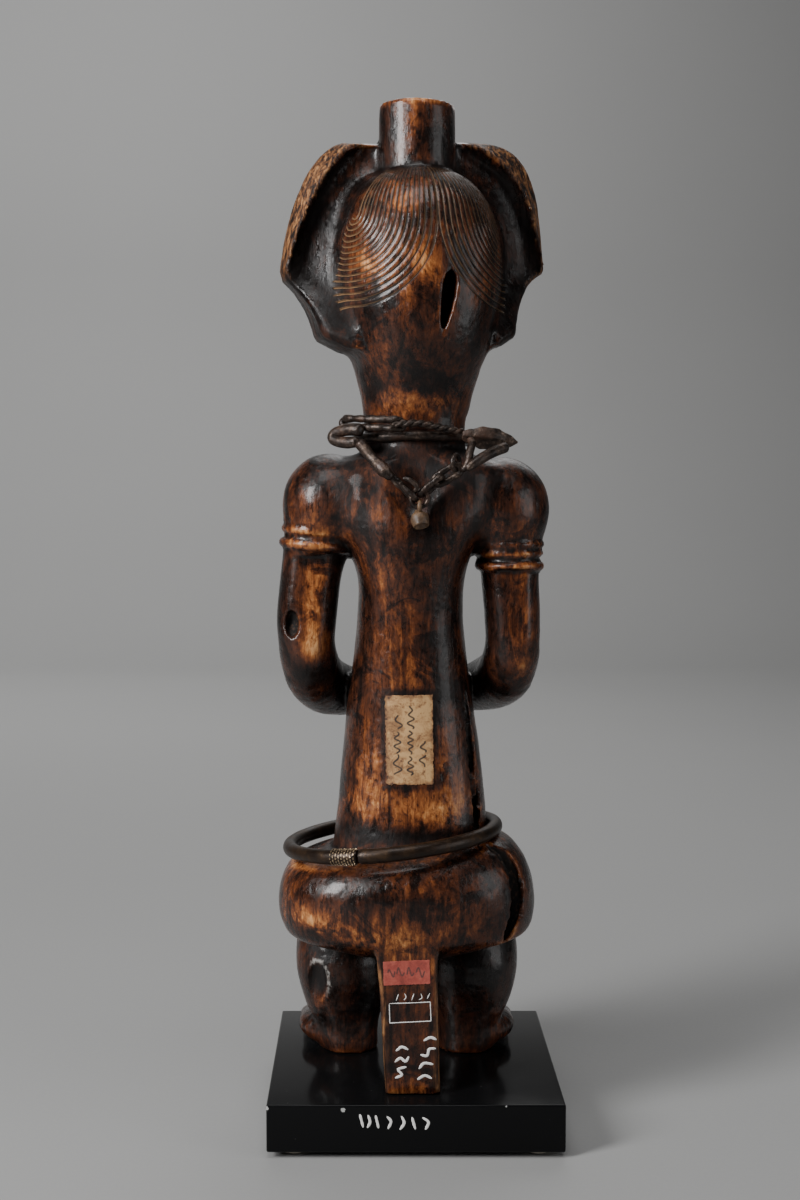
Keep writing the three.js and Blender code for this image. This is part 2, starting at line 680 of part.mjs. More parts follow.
function postGeometry() {
  const rows = [[0, 0.96, 0], [60, 1.02, 0.66], [postTop, 1.1, 1]];
  const rings = rows.map(([z, wide, lean]) => {
    const half = (postWidth / 2) * wide;
    const x = postMiddle - postLean * lean;
    const bevel = 2.2;
    return [[x - half, postBack + bevel], [x - half + bevel, postBack], [x + half - bevel, postBack],
      [x + half, postBack + bevel], [x + half, postBack + postDepth], [x - half, postBack + postDepth]]
      .map(([px, py]) => new THREE.Vector3(px, py, z));
  });
  return skin(rings);
}

function carvedFigure(ringSeat) {
  const head = joined([inHead(geometryOf(headSolid()))]);
  const parts = [
    stack(trunkTable, 16, 16), leaned(stack(rumpTable, 18, 9), rumpTable, rumpLean), postGeometry(),
    ball(leftShoulder.at, leftShoulder.radii, 12, 8), ball(rightShoulder.at, rightShoulder.radii, 12, 8),
    armSolid(leftArmTable, leftBands, 10), armSolid(rightArmTable, rightBands, 10),
    limb(leftForearmTable, 10, 6), limb(rightForearmTable, 10, 6),
    ball(onSide(chest.at, -1), chest.radii, 10, 6), ball(chest.at, chest.radii, 10, 6),
    ball(navel.at, navel.radii, 10, 6),
    ...legSolids(leftThighTable, leftShinTable, leftFootTable),
    ...legSolids(mirrored(leftThighTable), mirrored(leftShinTable), mirrored(leftFootTable)),
  ];
  let body = joined(parts).add(head).add(handSolid(leftHand)).add(handSolid(rightHand));
  const cuts = [
    stripFromBehind(crack, crackWidth, crackFloor),
    stripFromBehind(rumpCrack, rumpCrackWidth, rumpCrackFloor),
    ...[soleCut, calfChip, leftArmFlat, rightArmFlat].map(({ at, size, turn }) => block(at, size, turn)),
    ...[insectHole, backHollow].map(({ at, radii }) => ball(at, radii, 10, 6)),
  ];
  for (const cut of [...cuts, ringSeat]) body = body.subtract(solid(cut));
  return geometryOf(body);
}

function rod(points, diameter, sides, steps) {
  const path = new THREE.CatmullRomCurve3(points.map(vector), false, 'centripetal');
  const section = new THREE.Shape(Array.from({ length: sides }, (_, i) => new THREE.Vector2(
    Math.cos((2 * Math.PI * i) / sides) * diameter / 2,
    Math.sin((2 * Math.PI * i) / sides) * diameter / 2,
  )));
  return new THREE.ExtrudeGeometry(section, { extrudePath: path, steps, bevelEnabled: false });
}

function barGeometry({ rod: wire, at }) {
  return rod(at, wire, 5, 2 * at.length);
}

// A closed ring of round rings about a loop of points.
function closedRod(points, diameter, sides) {
  const middle = points.reduce((sum, p) => sum.clone().add(p)).divideScalar(points.length);
  const normal = new THREE.Vector3();
  points.forEach((p, i) => {
    const next = points[(i + 1) % points.length].clone().sub(middle);
    normal.add(p.clone().sub(middle).cross(next));
  });
  normal.normalize();
  return skin(points.map((p, i) => {
    const ahead = points[(i + 1) % points.length];
    const along = ahead.clone().sub(points.at(i - 1)).normalize();
    const out = new THREE.Vector3().crossVectors(along, normal).normalize();
    const over = new THREE.Vector3().crossVectors(out, along);
    return Array.from({ length: sides }, (_, j) => {
      const angle = (2 * Math.PI * j) / sides;
      return p.clone().addScaledVector(out, Math.cos(angle) * diameter / 2)
        .addScaledVector(over, Math.sin(angle) * diameter / 2);
    });
  }), true);
}

// A long link between its two ends: two straight sides, round ends, turned about its length.
function linkGeometry({ rod: wire, from, to, width, roll, bow = 0 }) {
  const along = vector(to).sub(vector(from));
  const straight = along.length() - width;
  along.normalize();
  const side = new THREE.Vector3().crossVectors(along, new THREE.Vector3(0, 1, 0)).normalize();
  side.applyAxisAngle(along, radians(roll));
  const radius = (width - wire) / 2;
  const middle = vector(from).add(vector(to)).multiplyScalar(0.5);
  const points = [];
  const add = (u, v) => {
    const bend = new THREE.Vector3(0, -bow * (1 - (2 * u / (straight + width)) ** 2), 0);
    points.push(middle.clone().addScaledVector(along, u).addScaledVector(side, v).add(bend));
  };
  for (const end of [1, -1]) {
    for (let step = 0; step <= 4; step += 1) {
      const angle = radians(90 - step * 45);
      add(end * (straight / 2 + radius * Math.cos(angle)), end * radius * Math.sin(angle));
    }
    if (bow) for (const part of [1 / 3, -1 / 3]) add(end * part * straight, -end * radius);
  }
  return closedRod(points, wire, 5);
}

function ringGeometry({ rod: wire, at, radius, turn }) {
  const geometry = new THREE.TorusGeometry(radius, wire / 2, 5, 12);
  geometry.rotateX(radians(turn[0])).rotateY(radians(turn[1])).rotateZ(radians(turn[2]));
  return geometry.translate(...at);
}

function waistRing() {
  const radius = (waistRingOuter - waistRingRod) / 2;
  const half = THREE.MathUtils.radToDeg(waistRingSplit / radius / 2);
  const steps = 30;
  const points = Array.from({ length: steps + 1 }, (_, i) => {
    const angle = radians(270 - waistRingSplitAt + half + (i * (360 - 2 * half)) / steps);
    return new THREE.Vector3(radius * Math.cos(angle), radius * Math.sin(angle), 0)
      .applyAxisAngle(new THREE.Vector3(1, 0, 0), radians(-waistRingPitch))
      .applyAxisAngle(new THREE.Vector3(0, 1, 0), radians(-waistRingLean)).toArray();
  });
  return (extra) => rod(points, waistRingRod + extra, 7, steps).translate(...waistRingMiddle);
}

function neckRing() {
  const { middle, across, deep, rise } = neckRingTable;
  return closedRod(Array.from({ length: 20 }, (_, i) => {
    const angle = (2 * Math.PI * i) / 20;
    return new THREE.Vector3(middle[0] + across * Math.cos(angle), middle[1] + deep * Math.sin(angle),
      middle[2] - rise * Math.sin(angle));
  }), neckRingRod, 5);
}

// A hammered leaf: a pointed lens, thickest along its middle.
function leafGeometry() {
  const tip = vector(leaf.tip);
  const root = vector(leaf.root);
  const along = tip.clone().sub(root);
  const up = new THREE.Vector3(0, 0, 1);
  const out = new THREE.Vector3().crossVectors(along, up).normalize();
  const shape = [[0, 0.3], [0.2, 0.8], [0.45, 1], [0.72, 0.78], [0.92, 0.34], [1, 0.06]];
  return skin(shape.map(([u, wide]) => {
    const p = root.clone().addScaledVector(along, u);
    const half = (leaf.width / 2) * wide;
    return [[1, 0.2], [0.4, 0.5], [-0.4, 0.5], [-1, 0.2], [-0.4, -0.5], [0.4, -0.5]].map(([v, w]) => (
      p.clone().addScaledVector(up, v * half).addScaledVector(out, w * leafThickness)));
  }));
}

function pendantGeometry() {
  const profile = [[0, -0.5], [0.34, -0.46], [0.5, -0.1], [0.4, 0.36], [0.16, 0.5], [0, 0.5]];
  const bead = new THREE.LatheGeometry(profile.map(([r, z]) => new THREE.Vector2(
    r * pendantWidth, z * pendantHeight,
  )), 8).rotateX(Math.PI / 2);
  const loop = new THREE.TorusGeometry(pendantLoop, smallRingRod / 2, 4, 10).rotateY(Math.PI / 2);
  loop.translate(0, 0, pendantHeight / 2 + 2.3);
  return geometryOf(joined([bead, loop])).translate(...pendantAt);
}

// A thin slip that lies on the trunk's back.
function paperGeometry() {
  const columns = 4;
  const rows = 3;
  const slip = (lift) => {
    const points = [];
    for (let i = 0; i <= rows; i += 1) {
      for (let j = 0; j <= columns; j += 1) {
        const u = (j / columns - 0.5) * paperWidth;
        const v = (i / rows - 0.5) * paperHeight;
        const turn = radians(paperPlace.turn);
        const x = paperPlace.x + u * Math.cos(turn) - v * Math.sin(turn);
        const z = paperPlace.z + u * Math.sin(turn) + v * Math.cos(turn);
        points.push(new THREE.Vector3(x, trunkBack(x, z) - lift, z));
      }
    }
    return points;
  };
  const points = [...slip(clearance), ...slip(clearance + labelThickness)];
  const count = points.length / 2;
  const wide = columns + 1;
  const faces = [];
  for (let i = 0; i < rows; i += 1) {
    for (let j = 0; j < columns; j += 1) {
      const a = i * wide + j;
      for (const [base, turned] of [[0, false], [count, true]]) {
        const quad = [a, a + 1, a + wide + 1, a, a + wide + 1, a + wide].map((n) => n + base);
        faces.push(...(turned ? quad.reverse() : quad));
      }
    }
  }
  const rim = [];
  for (let j = 0; j < columns; j += 1) rim.push(j);
  for (let i = 0; i < rows; i += 1) rim.push(i * wide + columns);
  for (let j = columns; j > 0; j -= 1) rim.push(rows * wide + j);
  for (let i = rows; i > 0; i -= 1) rim.push(i * wide);
  rim.forEach((from, i) => {
    const to = rim[(i + 1) % rim.length];
    faces.push(from, to + count, to, from, from + count, to + count);
  });
  return facedOut(points, faces);
}

function trunkBack(x, z) {
  const [, left, right, back, front, square] = rowAtHeight(trunkTable, z);
  const across = Math.abs((x - (left + right) / 2) / ((right - left) / 2)) ** square;
  return (back + front) / 2 - ((front - back) / 2) * (1 - across) ** (1 / square);
}

function redSlip() {
  const slip = block([0, 0, 0], [redWidth, labelThickness, redHeight], [0, redPlace.turn, 0]);
  return slip.translate(redPlace.x, postBack - clearance - labelThickness / 2, redPlace.z);
}

const ringAround = waistRing();
const pieces = [
  ['carved_figure', carvedFigure(ringAround(2 * clearance)), materials.wood],
  ['waist_ring', ringAround(0), materials.bronze],
  ['neck_ring', neckRing(), materials.iron],
  ...Object.entries(bars).map(([name, bar]) => [name, barGeometry(bar), materials.iron]),
  ...Object.entries(links).map(([name, link]) => [name, linkGeometry(link), materials.iron]),
  ...Object.entries(rings).map(([name, ring]) => [name, ringGeometry(ring), materials.iron]),
  ['leaf_plate', leafGeometry(), materials.iron],
  ['pendant', pendantGeometry(), materials.iron],
  ['paper_slip', paperGeometry(), materials.paper],
  ['red_slip', redSlip(), materials.redPaper],
];

const seat = padHeight + clearance + plinthHeight;
const standing = new THREE.Group();
standing.position.z = seat + clearance;
for (const [name, geometry, material] of pieces) {
  const piece = new THREE.Mesh(geometry.scale(share, share, share), material);
  piece.name = name;
  standing.add(piece);
}

function plinthGeometry() {
  const outline = (inset) => {
    const shape = [];
    const half = [plinthWidth / 2 - inset, plinthDepth / 2 - inset];
    const radius = plinthCorner;
    for (const [sx, sy, start] of [[1, 1, 0], [-1, 1, 90], [-1, -1, 180], [1, -1, 270]]) {
      for (let step = 0; step <= 3; step += 1) {
        const angle = radians(start + step * 30);
        const [x, y] = [half[0] - radius, half[1] - radius];
        shape.push([sx * x + radius * Math.cos(angle), sy * y + radius * Math.sin(angle)]);
      }
    }
    return shape;
  };
  const ring = (inset, z) => outline(inset).map(([x, y]) => new THREE.Vector3(x, y, z));
  const bottom = padHeight + clearance;
  return skin([ring(plinthBevel, bottom), ring(0, bottom + plinthBevel), ring(0, seat - plinthBevel),
    ring(plinthBevel, seat)]);
}

const plinth = new THREE.Mesh(plinthGeometry(), materials.plinth);
plinth.name = 'plinth';

const padPlaces = {
  rear_left: [-1, -1],
  rear_right: [1, -1],
  front_left: [-1, 1],
  front_right: [1, 1],
};
const padProfile = [[0, 0], [padDiameter / 2, 0], [padDiameter / 2, padHeight], [0, padHeight]];
const pads = Object.entries(padPlaces).map(([place, [sx, sy]]) => {
  const disc = new THREE.LatheGeometry(padProfile.map((p) => new THREE.Vector2(...p)), 16);
  const pad = new THREE.Mesh(disc.rotateX(Math.PI / 2), materials.rubber);
  pad.name = `rubber_pad_${place}`;
  pad.position.set(sx * (plinthWidth / 2 - padInset), sy * (plinthDepth / 2 - padInset), 0);
  return pad;
});

const model = new THREE.Group();
model.add(standing, plinth, ...pads);
export default model;
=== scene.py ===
# A carved wooden guardian figure on a glossy plinth, with its chain, rings and paper slips.
# Blender works in metres. The carving's tables are in millimetres, up from the soles of its feet.
import math

import bmesh
import bpy
import numpy as np
import openvdb
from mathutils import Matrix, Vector


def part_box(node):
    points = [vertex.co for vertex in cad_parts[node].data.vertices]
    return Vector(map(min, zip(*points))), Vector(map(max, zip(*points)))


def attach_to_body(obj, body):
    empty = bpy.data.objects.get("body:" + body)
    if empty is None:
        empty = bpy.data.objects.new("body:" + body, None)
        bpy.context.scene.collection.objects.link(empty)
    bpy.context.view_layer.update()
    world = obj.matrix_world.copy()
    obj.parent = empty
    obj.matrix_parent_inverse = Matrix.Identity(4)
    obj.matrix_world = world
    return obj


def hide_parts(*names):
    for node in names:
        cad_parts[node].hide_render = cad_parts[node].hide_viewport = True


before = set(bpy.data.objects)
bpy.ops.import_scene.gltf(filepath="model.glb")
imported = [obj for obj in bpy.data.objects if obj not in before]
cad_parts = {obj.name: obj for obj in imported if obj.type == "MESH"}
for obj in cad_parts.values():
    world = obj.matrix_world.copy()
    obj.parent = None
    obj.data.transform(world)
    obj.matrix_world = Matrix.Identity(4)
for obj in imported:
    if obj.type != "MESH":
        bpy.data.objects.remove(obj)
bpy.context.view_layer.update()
print("frame loaded:", len(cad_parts), "nodes")

mm = 0.001
soleLevel = 29.6  # the soles over the pads' underside


# Camera, floor and light

shot = {
    "position": (-0.02345, -0.94117, 0.35874),
    "tiltDown": 3.958,  # degrees
    "focalPixels": 1655.2,
    "framePixels": (800, 1200),
    "axisPixelX": 372.18,
}

stageLook = {
    "floorColour": (0.275, 0.274, 0.271),
    "width": 9.0,
    "near": -4.5,
    "bendStart": 2.3,
    "bendRadius": 0.9,
    "bendSteps": 12,
    "height": 3.6,
    "worldColour": (0.62, 0.63, 0.65),
    "worldStrength": 0.07,
    "lamps": [
        # name, position, aim, width, height, watts
        ("boxLeft", (-1.05, -0.8, 0.85), (0, 0, 0.32), 0.38, 0.7, 32),
        ("boxRight", (1.3, -0.65, 0.55), (0, 0, 0.3), 0.7, 1.1, 6),
        ("boxOver", (-0.1, -0.5, 1.6), (0, 0, 0.2), 0.8, 0.6, 8),
        ("boxRear", (0.3, 1.0, 1.2), (0, 0.1, 0.35), 0.9, 0.8, 3),
        ("boxFront", (0, 2.1, 3.0), (0, 0, 0.3), 2.0, 2.0, 17),
        ("boxBackdrop", (-0.9, 1.4, 1.8), (-0.8, 3.1, 0.4), 1.9, 0.9, 46),
    ],
}


def aimed(position, target):
    return (Vector(target) - Vector(position)).to_track_quat("-Z", "Y").to_euler()


def makeCamera(given):
    wide, high = given["framePixels"]
    data = bpy.data.cameras.new("photoCamera")
    data.sensor_width = 36
    data.lens = given["focalPixels"] / high * data.sensor_width
    data.shift_x = (wide / 2 - given["axisPixelX"]) / high
    data.clip_start = 0.05
    camera = bpy.data.objects.new("photoCamera", data)
    camera.location = given["position"]
    camera.rotation_euler = (math.radians(90 - given["tiltDown"]), 0, 0)
    bpy.context.collection.objects.link(camera)
    bpy.context.scene.camera = camera


def makeLamps(given):
    for name, position, target, width, height, watts in given["lamps"]:
        data = bpy.data.lights.new(name, "AREA")
        data.shape = "RECTANGLE"
        data.size = width
        data.size_y = height
        data.energy = watts
        lamp = bpy.data.objects.new(name, data)
        lamp.location = position
        lamp.rotation_euler = aimed(position, target)
        lamp.visible_camera = False
        bpy.context.collection.objects.link(lamp)
    world = bpy.data.worlds.new("paleRoom")
    world.use_nodes = True
    background = world.node_tree.nodes["Background"]
    background.inputs["Color"].default_value = (*given["worldColour"], 1)
    background.inputs["Strength"].default_value = given["worldStrength"]
    bpy.context.scene.world = world


makeCamera(shot)
makeLamps(stageLook)
print("camera and lamps placed")


# Shader helpers: a socket with arithmetic, and one method for every other node

class Wire:
    def __init__(self, tree, socket):
        self.tree = tree
        self.socket = socket

    def sum(self, operation, *values, clamp=False):
        settings = {"operation": operation, "use_clamp": clamp}
        return addNode(self.tree, "ShaderNodeMath", settings, dict(enumerate(values)))

    def __add__(self, other):
        return self.sum("ADD", self, other)

    def __radd__(self, other):
        return self.sum("ADD", other, self)

    def __sub__(self, other):
        return self.sum("SUBTRACT", self, other)

    def __rsub__(self, other):
        return self.sum("SUBTRACT", other, self)

    def __mul__(self, other):
        return self.sum("MULTIPLY", self, other)

    def __rmul__(self, other):
        return self.sum("MULTIPLY", other, self)

    def __truediv__(self, other):
        return self.sum("DIVIDE", self, other)

    def __rtruediv__(self, other):
        return self.sum("DIVIDE", other, self)

    def clamped(self):
        return self.sum("ADD", self, 0, clamp=True)

    def steps(self, low, high):
        return addNode(self.tree, "ShaderNodeMapRange", {"interpolation_type": "SMOOTHSTEP"},
                       {0: self, 1: low, 2: high, 3: 0.0, 4: 1.0})

    def size(self):
        return self.sum("ABSOLUTE", self)


def plug(tree, slot, value):
    if isinstance(value, Wire):
        tree.links.new(value.socket, slot)
    elif isinstance(value, (tuple, list)) and len(value) == 3 and slot.type == "RGBA":
        slot.default_value = (*value, 1)
    else:
        slot.default_value = value


def addNode(tree, kind, settings=None, sockets=None, output=0, **inputs):  # sockets by number, inputs by name
    made = tree.nodes.new(kind)
    for name, value in (settings or {}).items():
        if name == "stops":
            elements = made.color_ramp.elements
            while len(elements) < len(value):
                elements.new(0.5)
            for element, (position, colour) in zip(elements, value):
                element.position = position
                element.color = (*colour, 1)
        else:
            setattr(made, name, value)
    for number, value in (sockets or {}).items():
        plug(tree, made.inputs[number], value)
    for name, value in inputs.items():
        plug(tree, made.inputs[name.replace("_", " ")], value)
    return Wire(tree, made.outputs[output]) if made.outputs else None


class Finish:
    def __init__(self, name):
        self.material = bpy.data.materials.new(name)
        self.material.use_nodes = True
        self.tree = self.material.node_tree
        self.shader = self.tree.nodes["Principled BSDF"]
        self.place = addNode(self.tree, "ShaderNodeTexCoord", output=3)

    def stretched(self, scale, turn=(0, 0, 0)):
        return addNode(self.tree, "ShaderNodeMapping", Vector=self.place, Scale=scale,
                       Rotation=[math.radians(a) for a in turn])

    def noise(self, scale, detail=3.0, roughness=0.55, distortion=0.0, at=None):
        return addNode(self.tree, "ShaderNodeTexNoise", Vector=at or self.place, Scale=scale,
                       Detail=detail, Roughness=roughness, Distortion=distortion)

    def cells(self, scale):
        return addNode(self.tree, "ShaderNodeTexVoronoi", Vector=self.place, Scale=scale)

    def stored(self, name):
        return addNode(self.tree, "ShaderNodeAttribute", {"attribute_name": name}, output=2)

    def along(self, axis):
        return addNode(self.tree, "ShaderNodeSeparateXYZ", sockets={0: self.place}, output=axis)

    def ramp(self, factor, stops):
        return addNode(self.tree, "ShaderNodeValToRGB", {"stops": stops}, {0: factor})

    def mixed(self, factor, first, second):
        return addNode(self.tree, "ShaderNodeMix", {"data_type": "RGBA"}, {0: factor, 6: first, 7: second}, 2)

    def bump(self, height, strength, distance, under=None):
        below = {"Normal": under} if under else {}
        return addNode(self.tree, "ShaderNodeBump", Strength=strength, Distance=distance, Height=height,
                       **below)

    def set(self, **sockets):
        for name, value in sockets.items():
            plug(self.tree, self.shader.inputs[name.replace("_", " ")], value)
        return self.material


# Floor and backdrop in one sweep

def floorFinish(given):
    look = Finish("paleFloor")
    speck = look.noise(420, 2)
    tone = look.noise(2.2, 2)
    colour = look.mixed(tone * 0.35, given["floorColour"], tuple(c * 0.86 for c in given["floorColour"]))
    return look.set(Base_Color=colour, Roughness=0.62 + speck * 0.2, Normal=look.bump(speck, 0.08, 0.0004))


def makeStage(given):
    profile = [(given["near"], 0.0), (given["bendStart"], 0.0)]
    for step in range(1, given["bendSteps"] + 1):
        angle = math.radians(90 * step / given["bendSteps"])
        profile.append((given["bendStart"] + given["bendRadius"] * math.sin(angle),
                        given["bendRadius"] * (1 - math.cos(angle))))
    profile.append((profile[-1][0], given["height"]))
    half = given["width"] / 2
    points = [(side * half, y, z - 0.0002) for y, z in profile for side in (-1, 1)]
    faces = [(2 * i, 2 * i + 1, 2 * i + 3, 2 * i + 2) for i in range(len(profile) - 1)]
    mesh = bpy.data.meshes.new("floorSweep")
    mesh.from_pydata(points, [], faces)
    mesh.shade_smooth()
    mesh.materials.append(floorFinish(given))
    floor = bpy.data.objects.new("floorSweep", mesh)
    bpy.context.collection.objects.link(floor)


makeStage(stageLook)
print("floor swept")


# The carving as a field of distances, cut and filleted like clay, then skinned

trunkTable = [  # height, left edge, right edge, back, belly, squareness
    (92, -50, 45, -50, 28, 2.3), (143, -43.6, 41.2, -44.5, 28, 2.3), (164, -41.6, 39.2, -43.5, 31, 2.3),
    (186, -39.4, 36.6, -42.5, 33, 2.3), (210, -37, 32.8, -42, 32.5, 2.3), (233, -33.8, 30, -42.5, 29, 2.3),
    (256, -31.9, 27.6, -43.5, 26, 2.3), (276, -31.6, 28.2, -45.5, 25, 2.35), (292, -36, 33, -47.5, 26, 2.5),
    (306, -44, 43, -48.5, 27, 2.6), (322, -50, 51, -47, 24, 2.5), (336, -49, 51, -43.5, 18, 2.4),
    (342, -43, 45, -41, 15, 2.2), (347.4, -31, 31.6, -38, 14, 2), (353, -27.8, 28.2, -36.4, 13.4, 2),
    (372, -28.6, 29.4, -36, 13, 2), (390, -31, 33.6, -42, 19, 2),
]
rumpTable = [  # height, left edge, right edge, back, front, squareness
    (69, -34, 28, -50, 4, 2), (73, -50, 43, -58, 14, 2.1), (79, -68, 62.5, -65, 22, 2.2),
    (88, -74.2, 67.5, -69, 28, 2.2), (100, -76.3, 67.2, -70.5, 32, 2.2), (112, -75, 63.2, -69.5, 33, 2.25),
    (121, -71.4, 56.8, -65, 32, 2.3), (126, -65, 50.5, -59, 31, 2.3), (128.6, -52, 45, -52, 29, 2.3),
]
skullTable = [  # height, left edge, right edge, back, front about the head's axis, squareness
    (370, -27.5, 27.5, -27, 20, 2), (381, -30, 30, -33, 33, 2.1), (392, -34, 34, -39.5, 38.5, 2.2),
    (406, -39, 39, -45.5, 41, 2.2), (424, -43, 43, -49.5, 41, 2.15), (443, -45.6, 45.6, -51, 42.5, 2.1),
    (461, -45.4, 45.4, -50, 44.5, 2.1), (477, -42, 42, -46.5, 43.5, 2.05), (489, -36.5, 36.5, -40, 38.5, 2),
    (498, -27.5, 27.5, -30, 30, 2), (504, -15, 15, -16.5, 17, 2),
]
armTables = {
    "left": [(222, -68, -46, -20, 5, 2), (230, -73.4, -45.4, -26, 6, 2), (243, -76.6, -44.6, -30, 5, 2),
             (258, -76.9, -43.2, -31, 4.8, 2), (278, -75, -40.6, -31.6, 5.4, 2),
             (300, -72.6, -35.4, -33.4, 7, 2), (318, -70, -30, -35, 9, 2)],
    "right": [(222, 42, 64, -20, 5, 2), (230, 41.4, 68.6, -26, 6, 2), (243, 40.6, 70.6, -30, 5, 2),
              (258, 39.8, 71, -30.8, 4.6, 2), (278, 37.8, 70.2, -31.4, 5.2, 2),
              (300, 34.2, 71, -33.4, 7, 2), (318, 31, 72, -35, 9, 2)],
}
forearmTables = {  # middle x, y, z, half across, half deep
    "left": [(-60, -11, 233, 13, 14), (-57.5, -3, 224, 16, 17.4), (-51, 14, 214, 15.6, 17),
             (-40, 26, 209, 13.4, 14.6), (-27, 34.4, 206, 10.4, 11), (-17, 38, 205, 9, 9)],
    "right": [(55, -11, 233, 13, 14), (53, -3, 224, 15.6, 17), (47, 14, 216, 15.2, 16.4),
              (37, 26, 211, 13, 14), (25, 34.4, 207, 10.2, 10.8), (15, 38, 206, 9, 9)],
}
thighTable = [(-34, -18, 97, 29, 27), (-38, 6, 97, 28.5, 27), (-42, 26, 94, 26, 25), (-44, 44, 87, 22, 21),
              (-44, 50, 83, 17, 16)]
shinTable = [(-43, 44, 92, 19, 14), (-42.2, 38, 76, 22.8, 19), (-41.6, 28, 62, 26.2, 25),
             (-41, 20, 49, 27, 26), (-39.4, 16.5, 33, 24.2, 20.5), (-37.5, 15, 16, 17.6, 17.2),
             (-36.7, 15.2, 3, 16.3, 16.8)]
footTable = [(-37, 6, 5, 10, 5), (-39.5, 12, 8, 14.5, 8), (-43, 24, 9.5, 23, 9.5),
             (-44, 42, 8.8, 22.5, 8.8), (-45, 58, 6.6, 22, 6.6), (-45.6, 66, 5, 17.5, 5)]

carving = {
    "gridStep": 2.9,
    "gridBox": ((-82, -78, -3), (80, 78, 544)),
    "headAxis": (1.5, -8.0),
    "headTurn": 12.0,  # degrees
    "tubeRadius": 20.8,
    "tubeTop": 539.0,
    "tubeFoot": 488.0,
    "rightLegShift": -6.0,
    "wingFront": 15.0,
    "wingEdgeBack": 6.0,
    "wingRimBack": -3.0,
    "wingDepth": 8.6,
    "wingEase": 5.5,  # how far from the rim the hollow takes to fall
    "wingRise": (8.0, 0.64, 2.5),  # from where it climbs again to the skull, how steeply, how softly
    "wingStrip": {"below": 448, "over": 10, "crisp": 0.3, "soft": 4.5, "faint": 0.8},
    "slot": {"at": (5.2, 427.0), "floor": -34.0, "turn": 7.0,
             "half": [(-16.6, 0.0), (-11, 1.9), (-4, 3.0), (4, 3.7), (10, 3.6), (14, 2.4), (16.2, 0.0)]},
    "postBack": -66.0,
    "postDepth": 24.0,
    "postWidth": 31.0,
    "postTop": 92.0,
    "postMiddle": -1.3,
    "postLean": 4.2,
    "crack": [(28.6, 214), (31.4, 176), (34.4, 141), (35.6, 130)],
    "crackCut": (2.8, -22),  # its width, and how far in it runs
    "rumpCrack": [(35, 137), (48.2, 127.4), (53.6, 116.7), (55.6, 105), (54.4, 94), (48.6, 80)],
    "rumpCrackCut": (5.4, -40),
    "leftRidges": ((308.6, 1.9), (304.0, 2.4), (296.0, 2.9)),  # height and radius of each armband ridge
    "rightRidges": ((296.4, 2.2), (291.4, 2.0), (284.2, 2.8)),
    "leftRidgeFall": -0.11,
    "rightRidgeFall": 0.0,
    "creased": 0.055,  # how sharp a bend is cut in finer faces
    "finerOnHead": [  # across, height and how far forward it starts: the face, then the ears
        ((-1, 30), (386, 450), 26), ((40, 51), (406, 442), 10),
    ],
    "finerBeside": {"rumpCrack": (4.6, -30), "crack": (3.4, -14)},  # how near, and how far back
    "handTool": 0.3,  # unevenness that the adze and knife left
    "hole": {"at": (-68.4, -30, 252.5), "radii": (4.4, 8, 8)},
    "holeAbout": (-68, 252.5),  # across and up, for what lies round the hole
    "calfScar": {"at": (-61.0, -9.6, 42), "radii": (11.6, 13.2, 21), "turn": (4, 7, -29)},
    "shoulders": {"left": ((-48, -12, 320), (25.2, 27, 27)), "right": ((49.6, -12, 317), (25.8, 27, 28))},
    "chest": ((21, 12, 305), (20, 15, 17)),
    "navel": ((-2, 32, 172), (6, 6, 6)),
    "nape": ((0, -47.5, 340), (15, 7, 26)),
    "armPlanes": (((-60, -41, 262), (22, 24, 58)), ((56, -41, 252), (22, 24, 62))),
    "toeSlits": {"across": (-58.5, -52, -45.5, -38.5), "forward": 66, "up": 10.5, "size": (0.9, 22, 12)},
    "hands": ((-1, -13, 204), (1, 11, 206)),  # side, across, up
}
wingShapes = {
    -1: {"edge": [(40.5, 518.4), (60, 514.5), (72, 478), (75.2, 448)],
         "rim": [(37, 515.5), (51, 508), (67.5, 474), (73.6, 449)],
         "scallop": [(73.5, 442), (60.5, 430), (56.4, 412)], "foot": [(54.6, 409.4), (41.9, 403)]},
    1: {"edge": [(38.7, 521.3), (65, 522), (74, 502), (75.2, 449.6)],
        "rim": [(33.4, 518), (56, 507), (68, 492), (73, 451)],
        "scallop": [(69.5, 446), (57.5, 436), (53.4, 413.5)], "foot": [(52, 411), (42.6, 405.6)]},
}
ringSeat = {"middle": (-11.8, -12.5, 131.2), "radius": 58.4, "rod": 4.1, "lean": 6.2, "pitch": 2.0}
hair = {
    "poleAcross": 62.0,  # degrees from the middle of the back of the head to a whorl's middle
    "poleUp": 28.0,
    "squareness": 2.4,  # of the lines round a whorl
    "centreHeight": 452.0,
    "flatten": 0.9385,
    "grooves": 16,
    "reach": 58.0,  # degrees from a whorl's middle to its outermost groove
    "edgeAcross": 70.0,
    "edgeSlope": 0.3,
    "crownRadius": 23.0,
    "lowest": 404.0,
    "proud": 4.0,  # how far the fillets may lift the skin off the skull where hair still runs
    "depth": 0.5,
    "groovePart": 0.17,
}


def smoothRows(table, perSpan=12):
    rows = np.array(table, float)
    last = len(rows) - 1
    t = np.linspace(0, last, last * perSpan + 1)
    i = np.minimum(t.astype(int), last - 1)
    u = (t - i)[:, None]
    a, b, c, d = (rows[np.clip(i + n, 0, last)] for n in (-1, 0, 1, 2))
    return b + 0.5 * u * (c - a + u * (2 * a - 5 * b + 4 * c - d + u * (3 * (b - c) + d - a)))


def smoothMin(a, b, k):
    h = np.clip(0.5 + 0.5 * (b - a) / k, 0, 1)
    return b + (a - b) * h - k * h * (1 - h)


def smoothMax(a, b, k):
    return -smoothMin(-a, -b, k)


def radial(distance, ratio):  # how far past a closed curve a point is, along its own ray
    return distance - distance / np.maximum(ratio, 1e-3)


